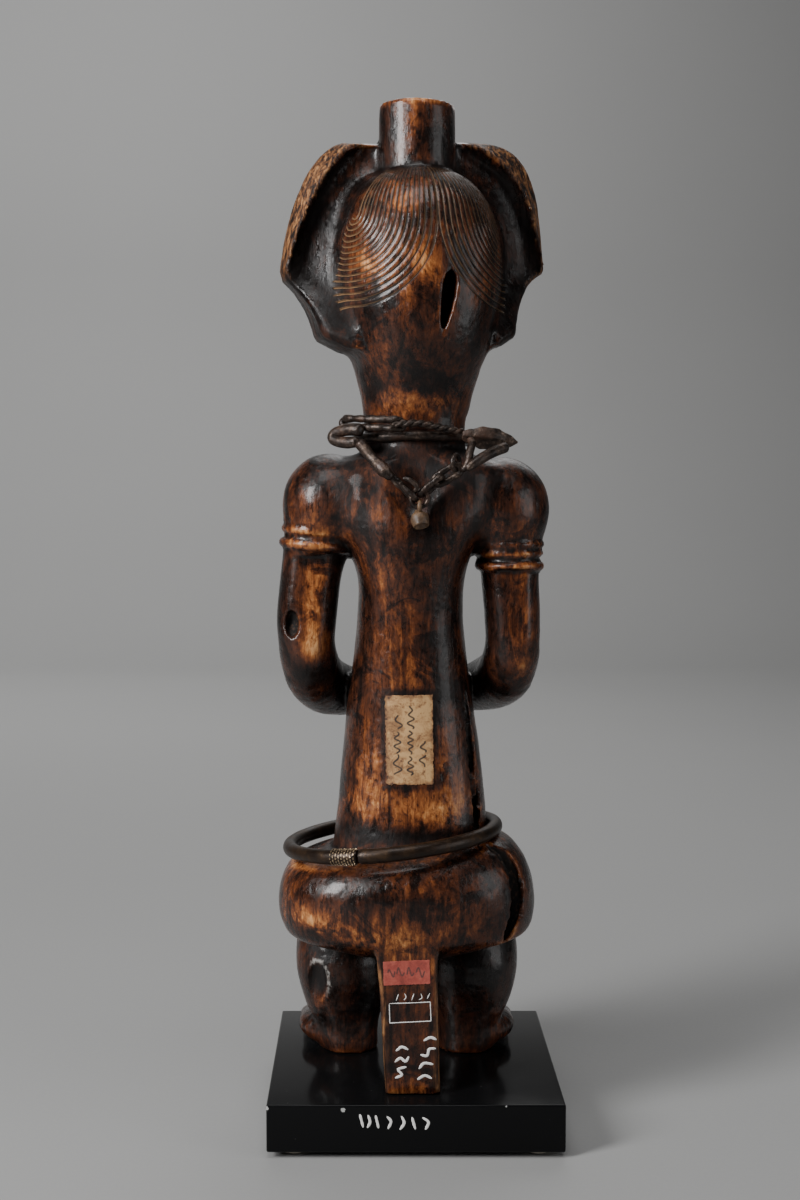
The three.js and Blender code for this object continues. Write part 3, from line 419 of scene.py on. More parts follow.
def stackField(rows, leanRate=0.0, cap=3.0):
    low, high = rows[0][0], rows[-1][0]

    def field(p):
        z = p[:, 2] - leanRate * np.clip((p[:, 2] - low) / (high - low), 0, 1) * (p[:, 0] + 4)
        left, right, back, front, square = (np.interp(z, rows[:, 0], rows[:, n]) for n in range(1, 6))
        x = p[:, 0] - (left + right) / 2
        y = p[:, 1] - (back + front) / 2
        u = np.abs(x) / ((right - left) / 2)
        v = np.abs(y) / ((front - back) / 2)
        side = radial(np.hypot(x, y), (u ** square + v ** square) ** (1 / square))
        return smoothMax(smoothMax(side, z - high, cap), low - z, cap)

    lowest = (rows[:, 1].min(), rows[:, 3].min(), low - 10)
    return field, lowest, (rows[:, 2].max(), rows[:, 4].max(), high + 10)


def limbField(table, up=(0, 0, 1), square=2.0):
    rows = smoothRows(table, 4)
    starts, ends = rows[:-1], rows[1:]
    up = np.array(up, float)

    def field(p):
        best = np.full(len(p), 60.0)
        for a, b in zip(starts, ends):
            span = b[:3] - a[:3]
            length = np.linalg.norm(span)
            along = span / length
            side = np.cross(along, up)
            side /= np.linalg.norm(side)
            over = np.cross(side, along)
            t = np.clip((p - a[:3]) @ along / length, 0, 1)
            w = p - (a[:3] + t[:, None] * span)
            across = a[3] + t * (b[3] - a[3])
            deep = a[4] + t * (b[4] - a[4])
            parts = (np.abs(w @ side) / across, np.abs(w @ over) / deep,
                     np.abs(w @ along) / np.minimum(across, deep))
            ratio = sum(part ** square for part in parts) ** (1 / square)
            best = np.minimum(best, radial(np.linalg.norm(w, axis=1), ratio))
        return best

    reach = rows[:, 3:5].max(axis=1)[:, None]
    return field, (rows[:, :3] - reach).min(axis=0), (rows[:, :3] + reach).max(axis=0)


def turnMatrix(turn):
    x, y, z = (math.radians(a) for a in turn)
    mx = np.array([[1, 0, 0], [0, math.cos(x), -math.sin(x)], [0, math.sin(x), math.cos(x)]])
    my = np.array([[math.cos(y), 0, math.sin(y)], [0, 1, 0], [-math.sin(y), 0, math.cos(y)]])
    mz = np.array([[math.cos(z), -math.sin(z), 0], [math.sin(z), math.cos(z), 0], [0, 0, 1]])
    return mz @ my @ mx


def ballField(at, radii, turn=(0, 0, 0)):
    at, radii, matrix = np.array(at, float), np.array(radii, float), turnMatrix(turn)

    def field(p):
        w = (p - at) @ matrix
        return radial(np.linalg.norm(w, axis=1), np.linalg.norm(w / radii, axis=1))

    return field, at - radii.max(), at + radii.max()


def blockField(at, size, turn=(0, 0, 0), rounding=0.6):
    at, half, matrix = np.array(at, float), np.array(size, float) / 2, turnMatrix(turn)

    def field(p):
        w = np.abs((p - at) @ matrix) - half + rounding
        outside = np.linalg.norm(np.maximum(w, 0), axis=1)
        return outside + np.minimum(w.max(axis=1), 0) - rounding

    reach = np.linalg.norm(half)
    return field, at - reach, at + reach


def lineDistance(x, z, line, closed=False):
    best = np.full(len(x), 1e6)
    inside = np.zeros(len(x), bool)
    points = list(line) + ([line[0]] if closed else [])
    for (x0, z0), (x1, z1) in zip(points, points[1:]):
        dx, dz = x1 - x0, z1 - z0
        t = np.clip(((x - x0) * dx + (z - z0) * dz) / (dx * dx + dz * dz + 1e-9), 0, 1)
        best = np.minimum(best, (x - x0 - t * dx) ** 2 + (z - z0 - t * dz) ** 2)
        if closed:
            crosses = (z0 > z) != (z1 > z)
            inside ^= crosses & (x < x0 + (z - z0) * dx / (dz if abs(dz) > 1e-9 else 1e-9))
    best = np.sqrt(best)
    return np.where(inside, -best, best) if closed else best


def bezier(points, steps):
    t = np.linspace(0, 1, steps + 1)[:, None]
    p = np.array(points, float)
    if len(p) == 4:
        return (1 - t) ** 3 * p[0] + 3 * (1 - t) ** 2 * t * p[1] + 3 * (1 - t) * t ** 2 * p[2] + t ** 3 * p[3]
    return (1 - t) ** 2 * p[0] + 2 * (1 - t) * t * p[1] + t ** 2 * p[2]


def wingLoops(shape):
    loops = []
    for top, inset in ((shape["edge"], 0.0), (shape["rim"], 2.0)):
        pulled = [(x - inset, z + inset * 0.4) for x, z in shape["scallop"]]
        loop = [(12, top[0][1])] + bezier(top, 14).tolist() + bezier(pulled, 7).tolist()
        loop += [(x - inset, z + inset * 0.8) for x, z in shape["foot"]] + [(12, shape["foot"][1][1])]
        loops.append(loop)
    return loops


def wingField(side):
    outer, inner = wingLoops(wingShapes[side])
    rimCurve = bezier(wingShapes[side]["rim"], 14).tolist()
    foot = bezier(wingShapes[side]["scallop"], 7).tolist() + wingShapes[side]["foot"]

    def field(p):
        u, y, z = side * p[:, 0], p[:, 1], p[:, 2]
        edge = lineDistance(u, z, outer, True)
        rim = lineDistance(u, z, inner, True)
        part = np.clip(-edge / np.maximum(-edge + rim, 1e-3), 0, 1)
        strip = carving["wingEdgeBack"] + part * (carving["wingRimBack"] - carving["wingEdgeBack"])
        inward = lineDistance(u, z, rimCurve)
        start, steep, soft = carving["wingRise"]
        rise = steep * soft * np.log1p(np.exp(np.clip((inward - start) / soft, -30, 30)))
        low = 1 - np.exp(-np.hypot(lineDistance(u, z, foot), 2.5) / 7)
        hollow = carving["wingDepth"] * (1 - np.exp(-inward / carving["wingEase"])) * (0.4 + 0.6 * low) - rise
        given = carving["wingStrip"]  # crisp along the rim, soft and faint along the scallop
        scalloped = np.clip((given["below"] - z) / given["over"], 0, 1)
        onStrip = np.clip(rim / (given["crisp"] + given["soft"] * scalloped) + 0.5, 0, 1)
        onStrip = onStrip * onStrip * (3 - 2 * onStrip) * (1 - given["faint"] * scalloped)
        back = carving["wingRimBack"] + hollow
        back = back + onStrip * (strip - back)
        plate = smoothMax(y - carving["wingFront"], back - y, 1.2)
        return smoothMax(edge, plate, 1.6)

    low = (12, -12, 400) if side > 0 else (-78, -12, 400)
    high = (78, 17, 524) if side > 0 else (-12, 17, 524)
    return field, low, high


def tubeField():
    middle = (carving["tubeTop"] + carving["tubeFoot"]) / 2

    def field(p):
        chips = 0.5 * np.sin(p[:, 0] * 0.9 + 1) * np.sin(p[:, 1] * 0.7)
        flare = np.clip((carving["tubeTop"] - p[:, 2]) / 50, 0, 1)
        side = np.hypot(p[:, 0], p[:, 1]) - carving["tubeRadius"] - 0.9 * flare
        return smoothMax(side, np.abs(p[:, 2] - middle) - (carving["tubeTop"] - middle) + 0.2 * chips, 2.4)

    return field, (-24, -24, carving["tubeFoot"]), (24, 24, carving["tubeTop"])


def slotField():
    given = carving["slot"]
    turn = math.radians(given["turn"])
    places, halves = zip(*given["half"])

    def field(p):
        x, z = p[:, 0] - given["at"][0], p[:, 2] - given["at"][1]
        across = x * math.cos(turn) - z * math.sin(turn)
        long = x * math.sin(turn) + z * math.cos(turn)
        narrow = np.interp(long, places, halves)
        almond = np.maximum(np.abs(across) - narrow, (np.abs(long) - 16.4) * 0.8)
        return smoothMax(almond * 0.9, p[:, 1] - given["floor"], 2)

    x, z = given["at"]
    return field, (x - 9, -60, z - 20), (x + 9, -32, z + 20)


def postInset(p):  # how far inside the post's two long sides a point is
    levels = (0, 60, carving["postTop"])
    lean = carving["postLean"] * np.interp(p[:, 2], levels, (0, 0.66, 1))
    half = carving["postWidth"] / 2 * np.interp(p[:, 2], levels, (0.96, 1.02, 1.1))
    return half - np.abs(p[:, 0] - carving["postMiddle"] + lean)


def postField():
    def field(p):
        side = -postInset(p)
        deep = np.abs(p[:, 1] - carving["postBack"] - carving["postDepth"] / 2) - carving["postDepth"] / 2
        return smoothMax(smoothMax(side, deep, 2.6), p[:, 2] - carving["postTop"], 3)

    return field, (-26, -68, -2), (18, -38, carving["postTop"])


def seatField(extra):
    lean, pitch = math.radians(ringSeat["lean"]), math.radians(ringSeat["pitch"])
    matrix = turnMatrix((0, -math.degrees(lean), 0)) @ turnMatrix((-math.degrees(pitch), 0, 0))

    def field(p):
        w = (p - np.array(ringSeat["middle"])) @ matrix
        return np.hypot(np.hypot(w[:, 0], w[:, 1]) - ringSeat["radius"], w[:, 2]) - ringSeat["rod"] - extra

    return field, (-78, -78, 118), (54, 54, 145)


def splitField(line, width, floor):
    def field(p):
        x, y, z = p.T
        ragged = 0.35 * np.sin(z * 0.9 + y * 0.35) + 0.25 * np.sin(z * 2.1 + 2)
        long = np.clip((z - line[-1][1]) / (line[0][1] - line[-1][1]), 0, 1)
        half = width / 2 * np.clip(6 * long * (1 - long) + 0.25, 0.3, 1)
        return smoothMax(lineDistance(x + 0.2 * ragged, z, line) - half - 0.5 * ragged, y - floor, 1.5)

    xs, zs = zip(*line)
    return field, (min(xs) - 6, -78, min(zs) - 4), (max(xs) + 6, floor + 4, max(zs) + 4)


def ridgeField(side, height, radius, fall):
    arm = smoothRows(armTables[side])
    armSide, low, high = stackField(arm)
    middle = (arm[:, 1] + arm[:, 2]).mean() / 2

    def field(p):
        level = p[:, 2] - height - fall * (p[:, 0] - middle)
        flat = p.copy()
        flat[:, 2] = np.clip(p[:, 2], 250, 312)
        return np.hypot(armSide(flat), level) - radius

    low = (low[0] - 3, low[1] - 3, height - 9)
    high = (high[0] + 3, high[1] + 3, height + 9)
    return field, low, high


def toHead(p):
    turn = math.radians(carving["headTurn"])
    x, y = p[:, 0] - carving["headAxis"][0], p[:, 1] - carving["headAxis"][1]
    across = x * math.cos(turn) + y * math.sin(turn)
    return np.stack([across, y * math.cos(turn) - x * math.sin(turn), p[:, 2]], 1)


def mirroredLeg(table):
    return [(carving["rightLegShift"] - row[0], *row[1:]) for row in table]


def handForms(side, x, z):
    def place(rows):
        return [(x + side * a, y, z + b, r, r * 0.94) for a, y, b, r in rows]

    forms = [(limbField([(x + side * 13, 34.6, z + 0.6, 6, 9), (x + side * 5, 37.4, z, 6, 11.4),
                         (x - side * 2, 38.6, z - 0.6, 5, 11.2)]), 3)]
    for up, long in ((8.1, 12.6), (2.7, 14.0), (-2.7, 13.4), (-8.0, 11.0)):
        forms.append((limbField(place([(1, 40.4, up, 3.0), (-6, 41.2, up - 0.6, 3.0),
                                       (-long, 38.6, up - 1.6, 2.5)])), 0.7))
    forms.append((limbField(place([(10, 38.4, 7, 3.4), (3, 40.6, 13.2, 3.2), (-4, 39.6, 14.6, 2.5)])), 1.0))
    return forms


def faceForms():
    forms = [
        (ballField((0, 33, 398), (20, 15, 15)), 7),
        (ballField((0, 33, 384.5), (14, 11, 9)), 6),
        (limbField([(0, 38, 455, 3.4, 4), (0, 41.5, 440, 3.8, 5), (0, 45.2, 426, 5, 6.4),
                    (0, 46.8, 418.6, 6, 6.6), (0, 45.4, 415, 5, 4)], (0, 1, 0)), 3),
        (limbField([(-11, 42, 403, 2, 2), (-5, 46.6, 404.2, 3, 2.6), (0, 47.4, 403.4, 3, 2.3),
                    (5, 46.6, 404.2, 3, 2.6), (11, 42, 403, 2, 2)]), 1.2),
        (limbField([(-10, 41.6, 398, 2, 2), (-4, 46, 396.4, 3, 2.6), (0, 46.6, 396, 3, 2.8),
                    (4, 46, 396.4, 3, 2.6), (10, 41.6, 398, 2, 2)]), 1.2),
    ]
    cheeks, fine = [], []
    for side in (-1, 1):
        forms += [
            (limbField([(side * 5, 42.4, 446, 2.6, 2.6), (side * 16, 42, 451.5, 3, 3),
                        (side * 28, 35.4, 446, 2.4, 2.6)]), 4),
            (ballField((side * 17, 36.8, 436), (9.4, 6, 5.2), (0, 0, -side * 14)), 2),
            (ballField((side * 5.8, 45.2, 417.4), (3.6, 3.8, 3.3)), 2),
            (ballField((side * 42.5, 19, 424), (4.6, 7.5, 14.5), (-8, 0, 0)), 2.5),
            (ballField((side * 45.5, 25.5, 421), (2, 2.2, 4)), 1.5),
        ]
        cheeks.append((ballField((side * 17.5, 50.5, 428), (15, 12, 24)), 6))
        fine += [
            (blockField((side * 17, 44, 435.4), (16, 6, 0.8), (0, 0, -side * 14), 0.3), 0.8),
            (ballField((side * 4.6, 48.6, 413.4), (1.6, 2.2, 1.6)), 0.8),
            (ballField((side * 47.8, 20, 425), (2.6, 4.4, 9.6), (-8, 0, 0)), 1.5),
        ]
    fine.append((limbField([(-10, 46, 400.4, 5, 0.5), (0, 50, 399.9, 5, 0.5), (10, 46, 400.4, 5, 0.5)]), 0.8))
    return cheeks, forms, fine


scarField = ballField(*carving["calfScar"].values())
holeField = ballField(*carving["hole"].values())
crackField = splitField(carving["crack"], *carving["crackCut"])
rumpCrackField = splitField(carving["rumpCrack"], *carving["rumpCrackCut"])


def figureForms():
    forms, late = [], []

    def put(made, blend, where="body"):
        forms.append((made[0], np.array(made[1], float), np.array(made[2], float), blend, where, False))

    def take(made, blend, where="body", soon=False):
        row = (made[0], np.array(made[1], float), np.array(made[2], float), blend, where, True)
        (forms if soon else late).append(row)

    put(stackField(smoothRows(trunkTable)), 1)
    put(stackField(smoothRows(rumpTable), 0.12, 2), 2.5)
    for side, (middle, radii) in carving["shoulders"].items():
        put(ballField(middle, radii), 7)
        put(stackField(smoothRows(armTables[side]), cap=8), 6)
        put(limbField(forearmTables[side]), 7)
    (across, forward, up), radii = carving["chest"]
    for flip in (-1, 1):
        put(ballField((flip * across, forward, up), radii), 8)
    put(ballField(*carving["navel"]), 2)
    for shape in (lambda rows: rows, mirroredLeg):
        put(limbField(shape(thighTable)), 5)
        put(limbField(shape(shinTable), (0, 1, 0)), 7)
        put(limbField(shape(footTable), (0, 0, 1), 2.3), 5)
    put(postField(), 3)
    for given in carving["hands"]:
        for made, blend in handForms(*given):
            put(made, blend)
    for side in ("left", "right"):
        for height, radius in carving[side + "Ridges"]:
            put(ridgeField(side, height, radius, carving[side + "RidgeFall"]), 0.8)
    put(stackField(smoothRows(skullTable), cap=4), 5, "head")
    put(wingField(-1), 6, "head")
    put(wingField(1), 6, "head")
    put(tubeField(), 3.5, "head")
    cheeks, features, fine = faceForms()
    for made, blend in cheeks:
        take(made, blend, "head", soon=True)
    for made, blend in features:
        put(made, blend, "head")
    for made, blend in fine:
        take(made, blend, "head")
    take(slotField(), 1.2, "head")
    take(crackField, 0.8)
    take(rumpCrackField, 1.2)
    take(holeField, 0.9)
    take(scarField, 0.5)
    take(ballField(*carving["nape"]), 7)
    for middle, size in carving["armPlanes"]:
        take(blockField(middle, size), 1.6)
    slits = carving["toeSlits"]
    for shift in (lambda x: x, lambda x: carving["rightLegShift"] - x):
        for x in slits["across"]:
            middle = (shift(x), slits["forward"], slits["up"])
            take(blockField(middle, slits["size"], rounding=0.4), 1.2)
    take(seatField(0.3), 0.6)
    return forms + late


figureParts = figureForms()


def latticeNoise(p, size, seed):
    values = np.random.default_rng(seed).random((24, 24, 24)).astype(np.float32) * 2 - 1
    q = p / size
    i = np.floor(q).astype(int)
    f = q - i
    f = f * f * (3 - 2 * f)
    total = 0
    for dx in (0, 1):
        for dy in (0, 1):
            for dz in (0, 1):
                weight = (f[:, 0] if dx else 1 - f[:, 0]) * (f[:, 1] if dy else 1 - f[:, 1])
                weight = weight * (f[:, 2] if dz else 1 - f[:, 2])
                total = total + weight * values[(i[:, 0] + dx) % 24, (i[:, 1] + dy) % 24, (i[:, 2] + dz) % 24]
    return total


def carvedField(points, margin=6.0, uncut=False):
    value = np.full(len(points), 40.0)
    head = toHead(points)
    for field, low, high, blend, where, cut in figureParts:
        if cut and uncut:
            continue
        local = head if where == "head" else points
        pad = margin + blend
        near = np.flatnonzero(np.all((local > low - pad) & (local < high + pad), axis=1))
        if not len(near):
            continue
        distance = field(local[near])
        if cut:
            value[near] = smoothMax(value[near], -distance, blend)
        else:
            value[near] = smoothMin(value[near], distance, blend)
    value += carving["handTool"] * (latticeNoise(points, 17, 3) + 0.45 * latticeNoise(points, 6.5, 4))
    return smoothMax(value, -points[:, 2], 0.6)


def fieldSlope(points):
    reach = 0.25
    slope = np.zeros_like(points)
    for axis in range(3):
        shift = np.zeros(3)
        shift[axis] = reach
        slope[:, axis] = (carvedField(points + shift) - carvedField(points - shift)) / (2 * reach)
    return slope


def bending(points, reach):  # above nought where the wood is convex, below in a hollow
    return sum(carvedField(points + reach * s * axis) for axis in np.eye(3) for s in (-1, 1)) / (6 * reach)


def settled(points, rounds=3, furthest=1.2):
    for _ in range(rounds):
        slope = fieldSlope(points)
        steep = np.maximum((slope ** 2).sum(axis=1), 0.15)
        move = -(carvedField(points) / steep)[:, None] * slope
        length = np.linalg.norm(move, axis=1, keepdims=True)
        points = points + move * np.minimum(1, furthest / np.maximum(length, 1e-6))
    return points


def skinned(step):
    low, high = (np.array(corner, float) for corner in carving["gridBox"])
    axes = [np.arange(a, b, step) for a, b in zip(low, high)]
    points = np.stack(np.meshgrid(*axes, indexing="ij"), -1).reshape(-1, 3)
    values = carvedField(points, 3 * step + 2)
    grid = openvdb.FloatGrid(20.0)
    grid.copyFromArray(values.reshape([len(a) for a in axes]).astype(np.float32))
    corners, quads = grid.convertToQuads(0.0)
    return corners * step + low, quads


def hairPhase(head):  # grooves passed from the nearer whorl's middle, and how surely a point has hair
    toward = head - np.array((0, 0, hair["centreHeight"]))
    toward /= np.linalg.norm(toward, axis=1, keepdims=True)
    across = np.degrees(np.arctan2(np.abs(toward[:, 0]), -toward[:, 1]))
    below = np.minimum(np.degrees(np.arcsin(np.clip(toward[:, 2], -1, 1))) - hair["poleUp"], 0)
    square = hair["squareness"]
    away = np.abs(hair["flatten"] * (across - hair["poleAcross"])) ** square + np.abs(below) ** square
    away = away ** (1 / square)
    limit = hair["poleAcross"] + (hair["edgeAcross"] - hair["poleAcross"]) * np.clip(-below / 6, 0, 1)
    inside = np.minimum(hair["reach"] + 0.9 - away, limit - hair["edgeSlope"] * below - across)
    inside = np.minimum(inside, np.hypot(head[:, 0], head[:, 1]) - hair["crownRadius"])
    return away / hair["reach"] * hair["grooves"], np.clip(inside / 1.1, 0, 1) * (head[:, 1] < 12)


def refined(mesh, chosen, cuts):
    work = bmesh.new()
    work.from_mesh(mesh)
    work.faces.ensure_lookup_table()
    edges = {edge for index in chosen for edge in work.faces[index].edges}
    bmesh.ops.subdivide_edges(work, edges=list(edges), cuts=cuts, use_grid_fill=True)
    bmesh.ops.triangulate(work, faces=[face for face in work.faces if len(face.verts) > 4])
    work.to_mesh(mesh)
    work.free()


def meshPoints(mesh):
    flat = np.empty(len(mesh.vertices) * 3)
    mesh.vertices.foreach_get("co", flat)
    return flat.reshape(-1, 3)


def faceMiddles(mesh):
    flat = np.empty(len(mesh.polygons) * 3)
    mesh.polygons.foreach_get("center", flat)
    return flat.reshape(-1, 3)


def storeValues(mesh, name, values):
    mesh.attributes.new(name, "FLOAT", "POINT").data.foreach_set("value", values.astype(np.float32))


def placed(points):  # the carving's millimetres to Blender's metres
    return (np.asarray(points, float) + (0, 0, soleLevel)) * mm


def asObject(name, mesh, material):
    mesh.materials.clear()
    mesh.materials.append(material)
    made = bpy.data.objects.new(name, mesh)
    bpy.context.collection.objects.link(made)
    return made


def attach(piece, slot, *nodes):
    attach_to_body(piece, "root")
    if nodes:
        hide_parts(*nodes)


def triangleCount(mesh):
    return sum(len(face.vertices) - 2 for face in mesh.polygons)


def backOf(x, z, outside=-50.0, inside=-34.0):  # where the carved back is, straight behind a place
    x, z = np.asarray(x, float), np.asarray(z, float)
    near, far = np.full(len(x), outside), np.full(len(x), inside)
    for _ in range(11):
        y = (near + far) / 2
        clear = carvedField(np.stack([x, y, z], 1)) > 0
        near, far = np.where(clear, y, near), np.where(clear, far, y)
    return (near + far) / 2


def onPost(x, z):
    return backOf(x, z, -71, -60)


def onPlinth(x, z):  # its rear face
    return np.full(len(x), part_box("plinth")[0][1] / mm)


paperSlip = {
    "place": (-3.1, 190.0),  # middle, across and up
    "turn": 0.8,
    "width": 26.6,
    "height": 49.6,
    "thickness": 0.3,
    "cell": 0.27,
    "ragged": 0.45,
    "inkHalf": 0.46,
}


def slipPlace(x, z):  # a point in the paper slip's own directions
    turn = math.radians(paperSlip["turn"])
    across, up = x - paperSlip["place"][0], z - paperSlip["place"][1]
    return across * math.cos(turn) + up * math.sin(turn), up * math.cos(turn) - across * math.sin(turn)


# Wood: a nearly black polished skin, rubbed through red and orange to bare tan

wood = {
    "skin": [  # from soot to bare wood
        (0.0, (0.0035, 0.002, 0.0017)), (0.2, (0.009, 0.004, 0.0028)), (0.38, (0.032, 0.0105, 0.0055)),
        (0.54, (0.085, 0.024, 0.0085)), (0.7, (0.2, 0.062, 0.018)), (0.86, (0.36, 0.14, 0.042)),
        (1.0, (0.52, 0.26, 0.105)),
    ],
    "bareWood": [(0.0, (0.006, 0.003, 0.0018)), (0.28, (0.034, 0.0125, 0.005)), (0.56, (0.12, 0.048, 0.017)),
                 (0.8, (0.2, 0.087, 0.031)), (1.0, (0.3, 0.148, 0.06))],
    # dust left in the grooves, and the painted highlight along one side of each
    "grooveFill": (0.27, 0.15, 0.07),
    "grooveDark": (0.006, 0.004, 0.003),
    # painted shade inside the cracks, the slot and the hole: lighter flecks over the darker colour below,
    # which also darkens the grain's threads
    "crackInside": (0.06, 0.032, 0.019),
    "soot": (0.0045, 0.003, 0.0025),
    # a painted highlight on the rim of the cut in the left calf
    "scarRim": (0.3, 0.28, 0.26),
    "roughness": (0.2, 0.56),
    "gloss": 0.27,
    "coat": 0.19,
    "spared": {"slotAcross": 3, "narrowed": 0.45, "slot": 9, "hole": 12},  # edges there are little rubbed
}
wornAndShaded = [  # middle, reach, strength: how far a place is worn through the skin; three negative spots are painted shade
    ((-26, -45, 304), (16, 20, 20), 0.14), ((-16, -45, 262), (10, 20, 34), 0.15),
    ((-4, -45, 228), (15, 20, 26), 0.24), ((22, -45, 296), (12, 20, 20), 0.08),
    ((8, -45, 190), (24, 20, 30), 0.14), ((-26, -42, 176), (12, 20, 26), 0.26),
    ((24, -42, 168), (12, 20, 26), 0.12), ((0, -42, 152), (46, 30, 13), 0.36),
    # painted shade under the waist's lower ledge
    ((-4, -40, 137.4), (46, 26, 3.4), -0.4),
    ((-64, -36, 314), (20, 20, 16), 0.16), ((56, -36, 306), (20, 20, 20), 0.08),
    ((-56, -30, 258), (7, 12, 34), 0.42), ((-57, -30, 240), (9, 10, 7), 0.26),
    # painted shade below the flat facets of both upper arms, where the elbows turn away
    ((-58, -30, 222), (16, 14, 7), -0.5), ((58, -30, 210), (16, 14, 6), -0.4),
    ((-73, -26, 262), (6, 12, 24), -0.2), ((40, -34, 262), (4, 14, 40), -0.16),
    ((60, -30, 258), (8, 12, 34), 0.26), ((60, -30, 226), (12, 12, 8), 0.24),
    ((-48, -58, 93), (30, 22, 8), 0.34), ((-14, -66, 86), (26, 20, 9), 0.34),
    ((24, -66, 98), (18, 20, 9), 0.16), ((-66, -40, 100), (12, 26, 16), 0.24),
    ((-2, -66, 112), (16, 20, 9), 0.2), ((0, -66, 74), (18, 16, 8), 0.24),
    ((-6, -66, 5), (20, 6, 6), 0.2), ((-6, -66, 44), (20, 8, 46), 0.02),
    ((-55, -8, 29), (5, 9, 12), 0.75), ((-62, -30, 301), (24, 26, 7), 0.32),
    ((58, -30, 290), (24, 26, 8), 0.24), ((-36, 0, 44), (30, 34, 46), -0.15),
    ((33, 0, 44), (30, 34, 46), -0.13), ((50, 6, 14), (16, 14, 12), 0.24),
    ((-34, 8, 8), (24, 14, 9), 0.2), ((2, -40, 371), (38, 26, 9), 0.33),
    ((-22, -52, 396), (12, 20, 12), 0.2), ((-8, -58, 432), (14, 16, 12), 0.2),
    ((4, -60, 448), (11, 16, 9), 0.42), ((12, -60, 432), (4, 14, 12), 0.26),
    ((-22, -50, 446), (18, 22, 16), 0.36), ((-6, -52, 478), (22, 22, 20), 0.26),
    ((34, -46, 446), (12, 22, 18), 0.2), ((-3, -28, 526), (6, 22, 14), 0.2),
    ((20, -28, 522), (5, 22, 16), 0.14), ((2, -28, 538), (22, 26, 3), 0.3),
    ((0, 42, 300), (30, 16, 20), 0.2), ((0, 36, 176), (16, 12, 16), 0.3),
    ((0, 44, 205), (24, 10, 10), 0.3),
    ((-44, 62, 84), (14, 14, 14), 0.34), ((38, 62, 84), (14, 14, 14), 0.34),
    ((0, 44, 418), (12, 12, 20), 0.3), ((0, 40, 470), (26, 16, 18), 0.24), ((0, 60, 8), (70, 14, 8), 0.24),
]
dulled = [  # the same, where the polish is dull
    ((-30, -42, 332), (15, 20, 24), 1.0), ((22, -40, 334), (16, 20, 20), 0.6),
    ((-40, -30, 420), (10, 26, 22), 0.8),
    ((-30, -36, 132), (30, 20, 7), 0.7), ((-38, 0, 10), (20, 18, 10), 0.5), ((34, 0, 10), (20, 18, 10), 0.5),
    ((0, -36, 346), (34, 34, 7), 0.6), ((-56, -14, 62), (13, 18, 7), 1.2),
]
scarHighlightShape = {  # the calf cut's painted highlight, across and up: where each part starts, and how fast it grows
    "lit": ((-57, 42), (8, 13)),
    "broad": ((-52, 50), (5, 8)),
    "width": (0.15, 1.7),  # least, and how much more where it is broad
}
skullSide = stackField(smoothRows(skullTable), cap=4)[0]
shadedCuts = [  # field, whether it is given about the head's axis, and how deep its painted shade begins
    (slotField()[0], True, 7.0),
    (crackField[0], False, 1.4),
    (rumpCrackField[0], False, 1.6),
    (holeField[0], False, 2.0),
]


def spots(points, given):
    total = np.zeros(len(points))
    for middle, reach, strength in given:
        away = (((points - np.array(middle, float)) / np.array(reach, float)) ** 2).sum(axis=1)
        total += strength * np.exp(-away)
    return total


def bareRims(head):
    bare = np.zeros(len(head))
    for side in (-1, 1):
        _, inner = wingLoops(wingShapes[side])
        near = np.flatnonzero((side * head[:, 0] > 30) & (head[:, 2] > 400))
        u, y, z = side * head[near, 0], head[near, 1], head[near, 2]
        ragged = 1.5 * latticeNoise(head[near] * (1, 1, 0.4), 2.6, 8) + 0.9 * latticeNoise(head[near], 1.5, 9)
        rim = lineDistance(u, z, inner, True) + ragged
        worn = np.clip((rim + 0.6) / 1.0, 0, 1) * np.clip((z - 440) / 6, 0, 1) * (y < 14)
        bare[near] = np.maximum(bare[near], worn)
    return bare


def shadeInsideCuts(points, head):  # painted shade: how deep a point lies in a crack, the slot or the insect's hole
    deep = np.zeros(len(points))
    for field, onHead, start in shadedCuts:
        near = np.flatnonzero(np.abs(field(head if onHead else points)) < 1.1)
        below = -carvedField(points[near], uncut=True)
        deep[near] = np.maximum(deep[near], np.clip((below - start) / 2, 0, 1))
    return deep


def scarRim(points):  # a painted highlight along the sharp rim of the cut in the left calf, brightest towards its top and one side
    near = np.flatnonzero(np.abs(scarField[0](points)) < 1.5)
    off = np.abs(carvedField(points[near], uncut=True)) + 0.5 * latticeNoise(points[near], 3, 19)
    x, z = points[near, 0], points[near, 2]
    (startX, startZ), (wide, high) = scarHighlightShape["lit"]
    lit = (x - startX) / wide + (z - startZ) / high
    (startX, startZ), (wide, high) = scarHighlightShape["broad"]
    broad = np.clip((z - startZ) / high, 0, 1) * np.clip((startX - x) / wide, 0, 1)
    least, more = scarHighlightShape["width"]
    rim = np.zeros(len(points))
    rim[near] = np.clip((least + more * broad - off) / 0.5 + 0.5, 0, 1) * np.clip(lit, 0, 1)
    return rim


def postRims(points):  # the post's long edges, worn to bare wood
    ragged = latticeNoise(points * (1, 1, 0.3), 2.2, 15)
    worn = np.clip((2.1 + 0.8 * ragged - postInset(points)) / 0.8, 0, 1)
    return 0.9 * worn * (points[:, 1] < -62) * np.clip((78 - points[:, 2]) / 6, 0, 1)


